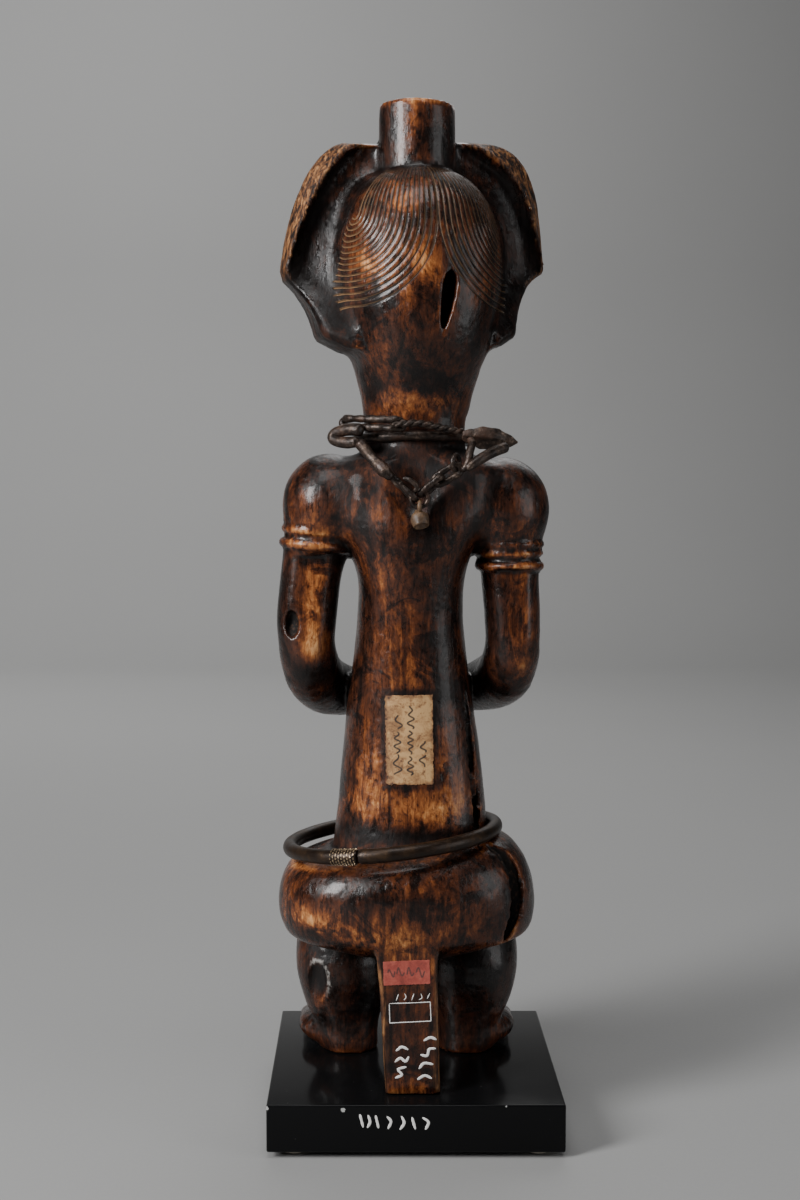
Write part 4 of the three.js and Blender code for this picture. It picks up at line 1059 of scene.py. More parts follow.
def woodFinish(given):
    look = Finish("oldPolishedWood")
    rub, bare, stain = look.stored("rub"), look.stored("bare"), look.stored("stain")
    edge, hollow, dust = look.stored("edge"), look.stored("hollow"), look.stored("dust")
    phase, haired, deep = look.stored("hairPhase"), look.stored("haired"), look.stored("deep")
    onWing, dull = look.stored("onWing"), look.stored("dull")
    upGrain = look.noise(1.0, 5, 0.62, 0.3, look.stretched((330, 330, 24)))
    fineGrain = look.noise(1.0, 3, 0.6, 0, look.stretched((1300, 1300, 80)))
    streaks = look.noise(1.0, 5, 0.66, 0.6, look.stretched((150, 150, 13)))
    patches = look.noise(44, 8, 0.7, 0.9)
    mottle = look.noise(1.0, 6, 0.74, 0.9, look.stretched((135, 135, 60)))
    pores = look.noise(1.0, 4, 0.7, 0.4, look.stretched((520, 520, 210)))
    flecks = look.noise(420, 3, 0.7)
    # wear lightens the skin, and the spots of painted shade darken it
    worn = 0.36 + rub * 0.95 + edge * 0.34 - hollow * 0.4 - stain * 0.3
    worn = worn + (patches - 0.5) * (0.8 + rub * 0.8) + (upGrain - 0.5) * (0.35 + rub * 0.9)
    worn = worn + (mottle - 0.5) * (0.75 + rub * 0.9) + (pores - 0.5) * (0.3 + rub * 0.5)
    burnt = streaks.steps(0.52, 0.59) * 0.14 + look.noise(31, 7, 0.66, 1.1).steps(0.53, 0.58) * 0.2
    burnt = burnt + mottle.steps(0.44, 0.38) * 0.1 + pores.steps(0.42, 0.33) * 0.16
    worn = (worn - burnt).clamped()
    skin = look.ramp(worn, given["skin"])
    splinters = look.noise(1.0, 3, 0.6, 0.5, look.stretched((560, 560, 62), (0, 8, 0)))
    rim = 0.47 + (splinters - 0.5) * 3.2 + (upGrain - 0.5) * 1.1 + (patches - 0.5) * 1.3
    rim = rim - pores.steps(0.5, 0.4) * 0.2
    skin = look.mixed(bare, skin, look.ramp(rim.clamped(), given["bareWood"]))
    thread = (0.46 - fineGrain).clamped() * 5 * worn
    skin = look.mixed(thread.clamped() * 0.6, skin, given["soot"])

    # Hair grooves: one each time the phase passes a whole number
    fraction = phase.sum("FRACT", phase + 0.5) - 0.5  # nought in the groove, half on the ridge
    groove = (1 - fraction.size().steps(0.06, 0.13)) * haired
    # a painted highlight along one side of each groove
    grooveHighlight = ((fraction + 0.16).size() * -1 + 0.1).steps(0, 0.06) * haired
    filled = (dust * 0.6 + (patches - 0.5) * 1.3).clamped()
    skin = look.mixed(groove * 0.94, skin, look.mixed(filled, given["grooveDark"], given["grooveFill"]))
    skin = look.mixed(grooveHighlight * (0.24 + dust * 0.04), skin, given["grooveFill"])
    # Painted shade inside the cracks, the slot and the hole, darker the deeper a point lies
    inside = look.mixed(flecks.steps(0.52, 0.68), given["soot"], given["crackInside"])
    skin = look.mixed(deep, skin, inside)
    # Painted highlight along the calf cut's rim, broken by pores and mottle
    pale = look.stored("pale") - pores.steps(0.52, 0.36) * 0.7 - mottle.steps(0.5, 0.4) * 0.3
    skin = look.mixed(pale.clamped(), skin, given["scarRim"])

    low, high = given["roughness"]
    smears = look.noise(85, 7, 0.7, 0.8, look.stretched((1, 1, 0.45)))
    dry = (bare * 0.8 + deep + dull * 0.7 + (worn - 0.75).clamped() * 1.6).clamped()
    roughness = low + (smears - 0.36).clamped() * 1.7 * (high - low) + (pores - 0.5) * 0.3
    roughness = roughness + dry * 0.35 + groove * 0.25 + hollow * 0.1 + stain * 0.1 + dull * 0.42
    roughness = roughness + (upGrain - 0.5) * onWing * 0.6
    dents = look.cells(200).steps(0.05, 0.5)
    grain = fineGrain * (0.35 + bare) + upGrain * (0.7 + bare) + splinters * bare * 1.6
    grain = grain + flecks * 0.3 + pores * 0.5
    relief = look.bump(grain, 0.5, 0.0004)
    relief = look.bump(smears + dents * 0.35 + mottle * 0.5, 0.42, 0.0011, relief)
    relief = look.bump(1 - groove, 0.75, 0.0005, relief)
    coat = ((1 - dry - onWing) * given["coat"]).clamped()
    return look.set(Base_Color=skin, Roughness=roughness.clamped(), Normal=relief, Coat_Weight=coat,
                    Specular_IOR_Level=given["gloss"], Coat_Roughness=0.12)


def fineFaces(mesh):  # which faces lie under hair, and which where the knife worked finer or fine
    middle = faceMiddles(mesh)
    head = toHead(middle)
    x, y, z = middle.T
    across, fore = np.abs(head[:, 0]), head[:, 1]
    _, haired = hairPhase(head)
    hairy = (haired > 0) & (np.abs(skullSide(head)) < hair["proud"]) & (z > hair["lowest"])
    finer = np.zeros(len(z), bool)
    for (inner, outer), (low, high), front in carving["finerOnHead"]:
        finer |= (across > inner) & (across < outer) & (z > low) & (z < high) & (fore > front)
    for name, (near, back) in carving["finerBeside"].items():
        finer |= (lineDistance(x, z, carving[name]) < near) & (y < back)
    slotAcross, slotUp = carving["slot"]["at"]
    finer |= (np.hypot(head[:, 0] - slotAcross, (z - slotUp) * 0.42) < 7.5) & (fore < -34)
    holeAcross, holeUp = carving["holeAbout"]
    finer |= (np.abs(x - holeAcross) < 8) & (np.abs(z - holeUp) < 11) & (y < -18)
    fine = np.abs(bending(middle, 2.0)) > carving["creased"]
    fine |= np.abs(scarField[0](middle)) < 4
    return hairy, finer & ~hairy, fine & ~finer & ~hairy


def markWood(mesh, points, head, phase, haired, deep):  # what the finish reads at each point
    bend = bending(points, 3.0)
    wingStart = np.interp(points[:, 2], (418, 432), (39, 46))
    onWing = np.clip((np.abs(head[:, 0]) - wingStart) / 3, 0, 1) * (points[:, 2] > 400)
    acrossSlip, upSlip = slipPlace(points[:, 0], points[:, 2])
    fromSide = np.abs(acrossSlip) - paperSlip["width"] / 2
    fromSlip = np.maximum(fromSide, np.abs(upSlip) - paperSlip["height"] / 2)
    azimuth = np.degrees(np.arctan2(head[:, 0], -head[:, 1]))
    spared = wood["spared"]
    fromSlot = (points[:, 2] - carving["slot"]["at"][1]) * spared["narrowed"]
    fromSlot = np.hypot(head[:, 0] - spared["slotAcross"], fromSlot)
    fromHole = np.hypot(*(points[:, (0, 2)] - carving["holeAbout"]).T)
    cuts = (fromSlot < spared["slot"]) & (head[:, 1] < -20)
    cuts |= (fromHole < spared["hole"]) & (points[:, 1] < -14)
    marks = {
        "hairPhase": phase,
        "haired": haired,
        "dust": np.clip((-azimuth - 46) / 14, 0, 1) + 0.35 * np.exp(-(azimuth / 12) ** 2),
        "rub": spots(points, wornAndShaded),
        "bare": np.maximum(bareRims(head), postRims(points)),
        # the calf cut's painted highlight
        "pale": scarRim(points),
        "dull": np.clip(spots(points, dulled), 0, 1),
        "edge": np.clip((bend - 0.06) * 4, 0, 1) * (1 - onWing) * np.where(cuts, 0.35, 1),
        "onWing": onWing,
        "hollow": np.clip((-bend - 0.015) * 5, 0, 1) + 0.35 * onWing,
        # how much painted shade a point gets inside the cuts
        "deep": deep,
        # darker in a narrow band just outside the paper slip's edge
        "stain": np.exp(-((fromSlip - 0.8) / 1.5) ** 2) * (points[:, 1] < -20),
    }
    for name, values in marks.items():
        storeValues(mesh, name, values)


def shadeByField(mesh, haired, outward):  # away from the hair: the field's own slope, not the faces'
    shading = np.empty(len(outward) * 3, np.float32)
    mesh.vertex_normals.foreach_get("vector", shading)
    shading = shading.reshape(-1, 3)
    agreed = (haired < 0.02) & ((shading * outward).sum(axis=1) > 0.95)
    mesh.normals_split_custom_set_from_vertices(np.where(agreed[:, None], outward, shading).tolist())


def makeFigure():
    corners, quads = skinned(carving["gridStep"])
    corners = settled(corners, 2)
    a, b, c = (corners[quads[:, n]] for n in (0, 1, 2))
    if (a * np.cross(b, c)).sum() < 0:
        quads = quads[:, ::-1]
    mesh = bpy.data.meshes.new("guardianFigure")
    mesh.from_pydata(corners.tolist(), [], quads.tolist())
    for which, cuts in ((0, 3), (1, 2), (2, 1)):
        refined(mesh, np.flatnonzero(fineFaces(mesh)[which]), cuts)
    points = settled(meshPoints(mesh), 2, 0.9)
    head = toHead(points)
    phase, haired = hairPhase(head)
    haired = haired * (np.abs(skullSide(head)) < hair["proud"])
    haired = haired * np.clip((points[:, 2] - hair["lowest"]) / 3, 0, 1)
    # painted shade inside the cracks, the slot and the hole
    deep = shadeInsideCuts(points, head)
    slope = fieldSlope(points)
    outward = slope / np.maximum(np.linalg.norm(slope, axis=1, keepdims=True), 1e-6)
    off = phase + 0.5 - np.floor(phase + 0.5) - 0.5
    points = points - outward * (hair["depth"] * np.exp(-(off / hair["groovePart"]) ** 2) * haired)[:, None]
    markWood(mesh, points, head, phase, haired, deep)
    mesh.vertices.foreach_set("co", placed(points).ravel())
    mesh.update()
    mesh.shade_smooth()
    shadeByField(mesh, haired, outward)
    figure = asObject("guardianFigure", mesh, woodFinish(wood))
    attach(figure, "wood", "carved_figure")
    print("figure carved:", triangleCount(mesh), "triangles")


makeFigure()


# Geometry Nodes: trees with named sizes, and the plain mesh each one leaves

class Graph:
    def __init__(self, name, sizes):
        self.tree = bpy.data.node_groups.new(name, "GeometryNodeTree")
        sockets = self.tree.interface
        sockets.new_socket("Geometry", in_out="INPUT", socket_type="NodeSocketGeometry")
        for label, value in sizes.items():
            kind = "NodeSocketInt" if isinstance(value, int) else "NodeSocketFloat"
            sockets.new_socket(label, in_out="INPUT", socket_type=kind).default_value = value
        sockets.new_socket("Finish", in_out="INPUT", socket_type="NodeSocketMaterial")
        sockets.new_socket("Geometry", in_out="OUTPUT", socket_type="NodeSocketGeometry")
        entry = self.step("NodeGroupInput").socket.node
        self.given = {socket.name: Wire(self.tree, socket) for socket in entry.outputs if socket.name}

    def step(self, kind, settings=None, sockets=None, **inputs):
        return addNode(self.tree, kind, settings, sockets, **inputs)

    def named(self, name, kind="FLOAT"):
        return self.step("GeometryNodeInputNamedAttribute", {"data_type": kind}, Name=name)

    def scaled(self, vector, amount):
        return self.step("ShaderNodeVectorMath", {"operation": "SCALE"}, {0: vector}, Scale=amount)

    def dented(self, shape, depth, scale, seed):  # pushed in and out along its own normals
        spot = self.step("GeometryNodeInputPosition")
        noise = self.step("ShaderNodeTexNoise", {"noise_dimensions": "4D"}, Vector=spot, W=seed, Scale=scale,
                          Detail=3.0, Roughness=0.55)
        push = self.scaled(self.step("GeometryNodeInputNormal"), (noise - 0.5) * 2 * depth)
        return self.step("GeometryNodeSetPosition", Geometry=shape, Offset=push)

    def end(self, shape):
        shape = self.step("GeometryNodeRealizeInstances", Geometry=shape)
        shape = self.step("GeometryNodeSetMaterial", Geometry=shape, Material=self.given["Finish"])
        self.step("NodeGroupOutput", sockets={0: shape})
        return self.tree


def faceOut(mesh):
    work = bmesh.new()
    work.from_mesh(mesh)
    bmesh.ops.recalc_face_normals(work, faces=work.faces)
    work.to_mesh(mesh)
    work.free()


def grown(name, tree, source, material, sizes):
    holder = bpy.data.objects.new(name + "Source", source)
    bpy.context.collection.objects.link(holder)
    modifier = holder.modifiers.new(name, "NODES")
    modifier.node_group = tree
    values = {**sizes, "Finish": material}
    for socket in tree.interface.items_tree:
        if socket.in_out == "INPUT" and socket.name in values:
            modifier[socket.identifier] = values[socket.name]
    ready = holder.evaluated_get(bpy.context.evaluated_depsgraph_get())
    mesh = bpy.data.meshes.new_from_object(ready)
    holder.modifiers.remove(modifier)
    bpy.data.objects.remove(holder)
    mesh.name = name
    faceOut(mesh)
    return asObject(name, mesh, material)


def pathMesh(name, lines, closed=False):  # rows of x, y, z in metres and a thickness
    rows = np.concatenate([np.asarray(line, float) for line in lines])
    edges, first = [], 0
    for line in lines:
        count = len(line)
        edges += [(first + i, first + i + 1) for i in range(count - 1)]
        if closed:
            edges.append((first + count - 1, first))
        first += count
    mesh = bpy.data.meshes.new(name)
    mesh.from_pydata(rows[:, :3].tolist(), edges, [])
    storeValues(mesh, "thickness", rows[:, 3])
    return mesh


def forgedRodTree():
    graph = Graph("forgedRod", {"Radius": 0.002, "Sides": 14, "Step": 0.0006, "Hammer": 0.0002,
                                "Hammer Scale": 300.0, "Seed": 1})
    given = graph.given
    path = graph.step("GeometryNodeMeshToCurve", Mesh=given["Geometry"])
    path = graph.step("GeometryNodeResampleCurve", {"mode": "LENGTH"}, Curve=path, Length=given["Step"])
    ring = graph.step("GeometryNodeCurvePrimitiveCircle", Resolution=given["Sides"], Radius=given["Radius"])
    tube = graph.step("GeometryNodeCurveToMesh", Curve=path, Profile_Curve=ring,
                      Scale=graph.named("thickness"), Fill_Caps=True)
    tube = graph.dented(tube, given["Hammer"], given["Hammer Scale"], given["Seed"])
    tube = graph.dented(tube, given["Hammer"] * 0.35, given["Hammer Scale"] * 3.4, given["Seed"] + 7)
    return graph.end(graph.step("GeometryNodeSetShadeSmooth", Geometry=tube))


forgedRod = forgedRodTree()


# The iron chain about the neck, piece by piece

iron = {
    "scale": [(0.0, (0.005, 0.0034, 0.0028)), (0.35, (0.013, 0.0085, 0.0068)), (0.6, (0.038, 0.025, 0.0185)),
              (0.8, (0.115, 0.08, 0.06)), (1.0, (0.25, 0.19, 0.15))],
    "rust": (0.07, 0.027, 0.012),
    "metal": 0.5,
    "roughness": (0.16, 0.5),
    "heavier": 1.3,  # wires a little stouter than the plain solids'
    "hammer": 0.24 * mm,
    "hammerPart": 0.14,  # at most, of the wire's own thickness
    "dents": 0.6,  # how many to a wire's thickness
    "step": 0.55 * mm,
    "sides": 16,
}
twist = {"turns": 4.5, "apart": 0.24, "strand": 0.62}  # the last two as parts of the whole wire
bars = {  # wire, then x, y, z in millimetres and thickness along it
    "twisted_wire": (3.4, [(-13, -47, 361.4, 0.6), (-7, -48.4, 362.2, 1), (1, -46.4, 362.6, 1),
                           (11, -43, 360.8, 1.05), (20.6, -39.4, 358.8, 1), (27, -36, 358.4, 0.7)]),
    "left_loop": (5.2, [(-28.4, -42.8, 358.8, 1.1), (-36.5, -38.2, 359.4, 1), (-43.6, -33.2, 357.4, 0.95),
                        (-44.4, -33.4, 354.2, 0.92), (-38, -38.4, 352.4, 0.95), (-30.4, -43.6, 352.8, 0.9)]),
    "left_rod": (4.6, [(-31, -50.2, 353, 1.12), (-23.4, -53.4, 343.6, 1), (-19.0, -57.2, 339, 1.22),
                       (-16.6, -58.8, 336.4, 1.2), (-15.4, -59, 335.2, 0.9),
                       (-12.8, -59.4, 332.5, 0.8)]),
    "small_hook": (1.9, [(-7.4, -58.6, 333.2, 0.7), (-3.4, -59.2, 332, 1.1), (0.2, -58.8, 328.6, 1.15),
                         (-1.2, -58.4, 325.8, 0.7)]),
    "chain_hook": (2.9, [(24.4, -54.8, 336.6, 0.8), (27.6, -55, 340.8, 1.1), (28.8, -52.6, 347, 1.15),
                         (30.2, -48, 352, 1.1), (28.4, -45.4, 354.6, 0.9)]),
    "right_rod": (4.4, [(26.4, -58.8, 337.6, 0.8), (33.6, -56, 342.8, 1), (41, -50.4, 346.8, 1.02),
                        (49.6, -43, 350, 1)]),
}
links = {  # wire, from, to, width, roll, bow
    "long_link": (3.2, (-41, -25, 363.6), (-5.4, -43.4, 361.8), 7.8, 8, 7),
    "wire_link": (2.6, (-17.4, -52, 338), (0.6, -54.7, 321), 8.8, 80, 0),
    "lower_link": (2.7, (1.2, -54.3, 323.4), (15.1, -53.2, 334.2), 8.4, 66, 0),
    "upper_link": (2.7, (9, -53.5, 330.2), (24.6, -52.4, 339.6), 8.4, 8, 0),
}
smallRings = {  # wire, middle, radius, turn
    "lower_ring": (1.9, (1.9, -54.4, 322.2), 4.5, (90, 0, 0)),
    "small_ring": (2.1, (21.4, -52.2, 341.2), 4.1, (90, 0, 62)),
}
neckRing = {"middle": (0.1, -11.2, 354.3), "across": 31.0, "deep": 27.9, "rise": 1.8, "wire": 4.0}


def ironFinish(given):
    look = Finish("hammeredIron")
    patches = look.noise(210, 6, 0.7, 0.4)
    fine = look.noise(900, 4, 0.7)
    dust = look.noise(60, 4, 0.6)
    tone = 0.52 + (patches - 0.5) * 1.7 + (fine - 0.5) * 0.7
    colour = look.ramp(tone.clamped(), given["scale"])
    rusty = (dust.steps(0.5, 0.68) * 0.55).clamped()
    colour = look.mixed(rusty, colour, given["rust"])
    low, high = given["roughness"]
    pits = look.cells(1100).steps(0.05, 0.4)
    relief = look.bump(patches + pits * 0.35 + fine * 0.5, 0.6, 0.0005)
    metal = (given["metal"] - rusty * 0.6 + (patches - 0.5) * 0.6).clamped()
    return look.set(Base_Color=colour, Metallic=metal,
                    Roughness=(low + patches * (high - low) + rusty * 0.2).clamped(), Normal=relief)


def catmull(points, spacing=0.6):  # a smooth run of points through the given ones
    rows = np.array(points, float)
    rows = np.concatenate([2 * rows[:1] - rows[1:2], rows, 2 * rows[-1:] - rows[-2:-1]])
    run = []
    for a, b, c, d in zip(rows, rows[1:], rows[2:], rows[3:]):
        count = max(2, int(np.linalg.norm(c[:3] - b[:3]) / spacing))
        for u in np.arange(count) / count:
            run.append(b + 0.5 * u * (c - a + u * (2 * a - 5 * b + 4 * c - d + u * (3 * (b - c) + d - a))))
    run.append(rows[-2])
    return np.array(run)


def roundedEnds(run, wire):  # the last half thickness of a rod closes in
    gone = np.concatenate([[0], np.cumsum(np.linalg.norm(np.diff(run[:, :3], axis=0), axis=1))])
    end = np.minimum(gone, gone[-1] - gone) / (wire / 2)
    run[:, 3] *= np.sqrt(np.clip(1 - (1 - np.clip(end, 0, 1)) ** 2, 0.06, 1))
    return run


def inMetres(run):
    run = np.array(run, float)
    return np.concatenate([placed(run[:, :3]), run[:, 3:]], axis=1)


def linkPath(wire, start, finish, width, roll, bow):
    start, finish = np.array(start, float), np.array(finish, float)
    along = finish - start
    whole = np.linalg.norm(along)
    along /= whole
    side = np.cross(along, (0, 1, 0))
    side /= np.linalg.norm(side)
    over = np.cross(along, side)
    side = side * math.cos(math.radians(roll)) + over * math.sin(math.radians(roll))
    straight, radius = (whole - width) / 2, (width - wire) / 2
    angles = np.radians(np.linspace(90, -90, 15))
    flat = [(straight + radius * math.cos(a), radius * math.sin(a)) for a in angles]
    flat += [(u, -radius) for u in np.linspace(straight, -straight, 15)[1:-1]]
    flat += [(-straight - radius * math.cos(a), -radius * math.sin(a)) for a in angles]
    flat += [(u, radius) for u in np.linspace(-straight, straight, 15)[1:-1]]
    middle = (start + finish) / 2
    points = []
    for u, v in flat:
        bend = np.array((0, -bow * (1 - (2 * u / whole) ** 2), 0))
        stout = 1 + 0.1 * math.sin(u * 0.9 + v) + 0.06 * math.sin(u * 2.3 + 1)
        points.append((*(middle + u * along + v * side + bend), stout))
    return points


def ringPath(radius, middle, turn, count=48):
    matrix = turnMatrix(turn)
    angles = np.arange(count) * 2 * math.pi / count
    flat = np.stack([radius * np.cos(angles), radius * np.sin(angles), 0 * angles], 1)
    return np.concatenate([flat @ matrix.T + np.array(middle), 1 + 0.07 * np.sin(3 * angles)[:, None]], 1)


def neckPath(given):
    angles = np.arange(150) * 2 * math.pi / 150
    x, y, z = given["middle"]
    stout = 1.04 + 0.06 * np.sin(5 * angles + 1) + 0.05 * np.sin(11 * angles)
    return np.stack([x + given["across"] * np.cos(angles), y + given["deep"] * np.sin(angles),
                     z - given["rise"] * np.sin(angles), stout], 1)


def twistedStrands(run, wire):  # two wires wound about one run
    ahead = np.gradient(run[:, :3], axis=0)
    ahead /= np.linalg.norm(ahead, axis=1, keepdims=True)
    side = np.cross(ahead, (0, 0, 1))
    side /= np.linalg.norm(side, axis=1, keepdims=True)
    over = np.cross(side, ahead)
    angle = np.linspace(0, twist["turns"] * 2 * math.pi, len(run))[:, None]
    strands = []
    for start in (0, math.pi):
        outward = side * np.cos(angle + start) + over * np.sin(angle + start)
        shift = outward * wire * twist["apart"] * run[:, 3:]
        strands.append(np.concatenate([run[:, :3] + shift, run[:, 3:]], 1))
    return strands


def ironPiece(name, lines, wire, closed, seed, material):
    stout = wire * iron["heavier"] / 2 * mm
    mesh = pathMesh(name + "Path", [inMetres(line) for line in lines], closed)
    return grown(name, forgedRod, mesh, material, {
        "Radius": stout, "Sides": iron["sides"], "Step": iron["step"],
        "Hammer": min(iron["hammer"], stout * iron["hammerPart"]), "Hammer Scale": iron["dents"] / stout,
        "Seed": seed,
    })


def camelCase(node):
    first, *others = node.split("_")
    return first + "".join(word.title() for word in others)


def chainRuns():  # each piece's node, its lines, its wire and whether it closes on itself
    for node, (wire, points) in bars.items():
        run = catmull(points)
        if node == "twisted_wire":
            lines = [roundedEnds(line, wire / 2) for line in twistedStrands(run, wire)]
            yield node, lines, wire * twist["strand"], False
        else:
            yield node, [roundedEnds(run, wire)], wire, False
    for node, given in links.items():
        yield node, [linkPath(*given)], given[0], True
    for node, (wire, middle, radius, turn) in smallRings.items():
        yield node, [ringPath(radius, middle, turn)], wire, True
    yield "neck_ring", [neckPath(neckRing)], neckRing["wire"], True


def makeChain():
    material = ironFinish(iron)
    for seed, (node, lines, wire, closed) in enumerate(chainRuns(), 1):
        attach(ironPiece(camelCase(node), lines, wire, closed, seed, material), "iron", node)
    print("chain forged:", seed, "pieces")
    return material


ironMaterial = makeChain()


# A folded leaf of iron, and the bead that hangs from the chain

leafPlate = {
    "root": (25.4, -41.4, 356.2), "tip": (55.6, -37.6, 352.6), "width": 12.6, "thickness": 2.3,
    "outline": [(0, 0.34), (0.12, 0.62), (0.3, 0.9), (0.48, 1), (0.64, 0.9), (0.8, 0.66), (0.92, 0.36),
                (1, 0.1)],
    "fold": 1.3,  # how far the middle stands out behind the edges
    "lap": 1.0,  # how far its upper half lies over the lower
    "stations": 56, "around": 56,
}
pendant = {
    "at": (1.9, -54.4, 311.2), "loopRadius": 2.9, "loopWire": 1.9, "loopUp": 6.8,
    "profile": [(0, -2.2), (1.8, -2.6), (3.0, -3.9), (3.7, -4.4), (4.3, -3.9), (4.4, -3.0), (4.8, -1.4),
                (4.9, 0.2), (4.4, 1.9), (3.3, 3.4), (2.0, 4.3), (1.7, 5.1), (0, 5.3)],
    "turn": (-24, -12, 0),
    "around": 40,
    "bone": [(0.0, (0.012, 0.006, 0.003)), (0.4, (0.045, 0.0235, 0.0105)), (0.7, (0.115, 0.062, 0.028)),
             (1.0, (0.25, 0.15, 0.075))],
}


def tubeFaces(rows, around, closedEnds=True):  # quads round a run of rings, with its ends filled
    faces = []
    for i in range(rows - 1):
        for j in range(around):
            k = (j + 1) % around
            faces.append((i * around + j, i * around + k, (i + 1) * around + k, (i + 1) * around + j))
    if closedEnds:
        faces += [tuple(range(around)), tuple(range((rows - 1) * around, rows * around))[::-1]]
    return faces


def makeLeaf(given):
    root, tip = np.array(given["root"], float), np.array(given["tip"], float)
    along = tip - root
    length = np.linalg.norm(along)
    along /= length
    up = np.array((0, 0, 1.0)) - along[2] * along
    up /= np.linalg.norm(up)
    out = np.cross(along, up)  # away from the neck, towards the back
    places, widths = zip(*given["outline"])
    points = []
    for u in np.linspace(0, 1, given["stations"]):
        half = given["width"] / 2 * np.interp(u, places, widths) * (1 + 0.05 * math.sin(u * 23))
        for angle in np.arange(given["around"]) * 2 * math.pi / given["around"]:
            v, w = math.cos(angle), math.sin(angle)
            lens = given["thickness"] / 2 * (0.35 + 0.65 * (1 - v * v) ** 0.5) * np.sign(w) * abs(w) ** 0.6
            full = math.sin(math.pi * min(1, u * 1.2 + 0.05))
            ridge = (given["fold"] * (1 - abs(v)) + given["lap"] * math.tanh((v + 0.12) * 9)) * full
            points.append(root + along * u * length + up * v * half + out * (lens + ridge - 0.3))
    points = np.array(points)
    dents = 0.28 * latticeNoise(points, 3.4, 12)
    points += dents[:, None] * out + 0.12 * latticeNoise(points, 1.3, 13)[:, None] * up
    mesh = bpy.data.meshes.new("leafPlate")
    mesh.from_pydata(placed(points).tolist(), [], tubeFaces(given["stations"], given["around"]))
    faceOut(mesh)
    mesh.shade_smooth()
    attach(asObject("leafPlate", mesh, ironMaterial), "iron", "leaf_plate")


def turned(profile, around):  # a profile of radius and height spun about the upright axis
    run = profile[1:-1]
    points = [(0, 0, profile[0][1])]
    for r, z in run:
        for j in range(around):
            angle = 2 * math.pi * j / around
            points.append((r * math.cos(angle), r * math.sin(angle), z))
    points.append((0, 0, profile[-1][1]))
    faces, last = [], len(points) - 1
    for j in range(around):
        k = (j + 1) % around
        faces.append((0, 1 + k, 1 + j))
        faces.append((last, 1 + (len(run) - 1) * around + j, 1 + (len(run) - 1) * around + k))
    for face in tubeFaces(len(run), around, False):
        faces.append(tuple(1 + n for n in face))
    return np.array(points, float), faces


def boneFinish(given):
    look = Finish("wornBone")
    tone = look.noise(160, 5, 0.65, 0.4)
    fine = look.noise(800, 4, 0.7)
    colour = look.ramp((0.58 + (tone - 0.5) * 1.5 + (fine - 0.5) * 0.5).clamped(), given["bone"])
    relief = look.bump(tone + fine * 0.5, 0.4, 0.0004)
    return look.set(Base_Color=colour, Roughness=0.42 + tone * 0.25, Normal=relief)


def makePendant(given):
    material = boneFinish(given)
    smooth = catmull([(r, z, 0, 1) for r, z in given["profile"]], 0.35)[:, :2]
    smooth = [(max(r, 0.0), z) for r, z in smooth.tolist()]
    smooth[0], smooth[-1] = (0, smooth[0][1]), (0, smooth[-1][1])
    points, faces = turned(smooth, given["around"])
    points += 0.25 * latticeNoise(points + 40, 2.6, 21)[:, None] * (points / 5)
    points = points @ turnMatrix(given["turn"]).T
    mesh = bpy.data.meshes.new("pendantBead")
    mesh.from_pydata(placed(points + np.array(given["at"])).tolist(), [], faces)
    faceOut(mesh)
    mesh.shade_smooth()
    bead = asObject("pendantBead", mesh, material)
    loopMiddle = np.array(given["at"]) + (0, 0, given["loopUp"])
    ring = ringPath(given["loopRadius"], loopMiddle, (0, 90, 0), 32)
    loop = ironPiece("pendantLoop", [ring], given["loopWire"], True, 31, material)
    attach(bead, "iron", "pendant")
    attach(loop, "iron", "pendant")


makeLeaf(leafPlate)
makePendant(pendant)
print("leaf and bead hung")


# The bronze hoop about the waist, with a hatched collar beside its joint

hoop = {
    "radius": ringSeat["radius"], "wire": 8.2, "split": 1.2,
    "splitAt": 18.7,  # degrees left of straight behind
    "lengthSteps": 260, "sides": 32, "step": 1.0, "hammer": 0.12, "hammerScale": 130.0, "seed": 41,
    "endFall": (0.12, 0.5),  # how much thinner its ends are, and over what length
    "uneven": (0.012, 40),
    "tone": [(0.0, (0.0055, 0.0028, 0.0016)), (0.4, (0.016, 0.008, 0.0038)), (0.7, (0.044, 0.0235, 0.011)),
             (1.0, (0.15, 0.085, 0.04))],
    "tickTone": [(0.0, (0.08, 0.05, 0.028)), (0.5, (0.26, 0.185, 0.11)), (1.0, (0.5, 0.4, 0.28))],
    "collar": {"from": 1.6, "to": 15.4, "pitch": 1.65, "rows": 13, "long": 0.6, "wide": 1.25, "high": 0.9},
}


def hoopPlace(degreesLeft):  # middle of the wire there, in millimetres, and the direction outward
    lean = turnMatrix((0, -ringSeat["lean"], 0)) @ turnMatrix((-ringSeat["pitch"], 0, 0))
    angle = math.radians(270 - degreesLeft)
    outward = lean @ np.array((math.cos(angle), math.sin(angle), 0))
    return np.array(ringSeat["middle"]) + hoop["radius"] * outward, outward


def bronzeFinish(name, tones):
    look = Finish(name)
    patches = look.noise(150, 6, 0.68, 0.4)
    fine = look.noise(850, 4, 0.7)
    colour = look.ramp((0.46 + (patches - 0.5) * 1.6 + (fine - 0.5) * 0.6).clamped(), tones)
    scratches = look.noise(1.0, 3, 0.6, 0.4, look.stretched((260, 260, 1600)))
    relief = look.bump(patches + scratches * 0.5 + fine * 0.3, 0.3, 0.0004)
    return look.set(Base_Color=colour, Metallic=(0.5 + (patches - 0.5) * 0.6).clamped(),
                    Roughness=(0.2 + patches * 0.3 + scratches * 0.08).clamped(), Normal=relief)


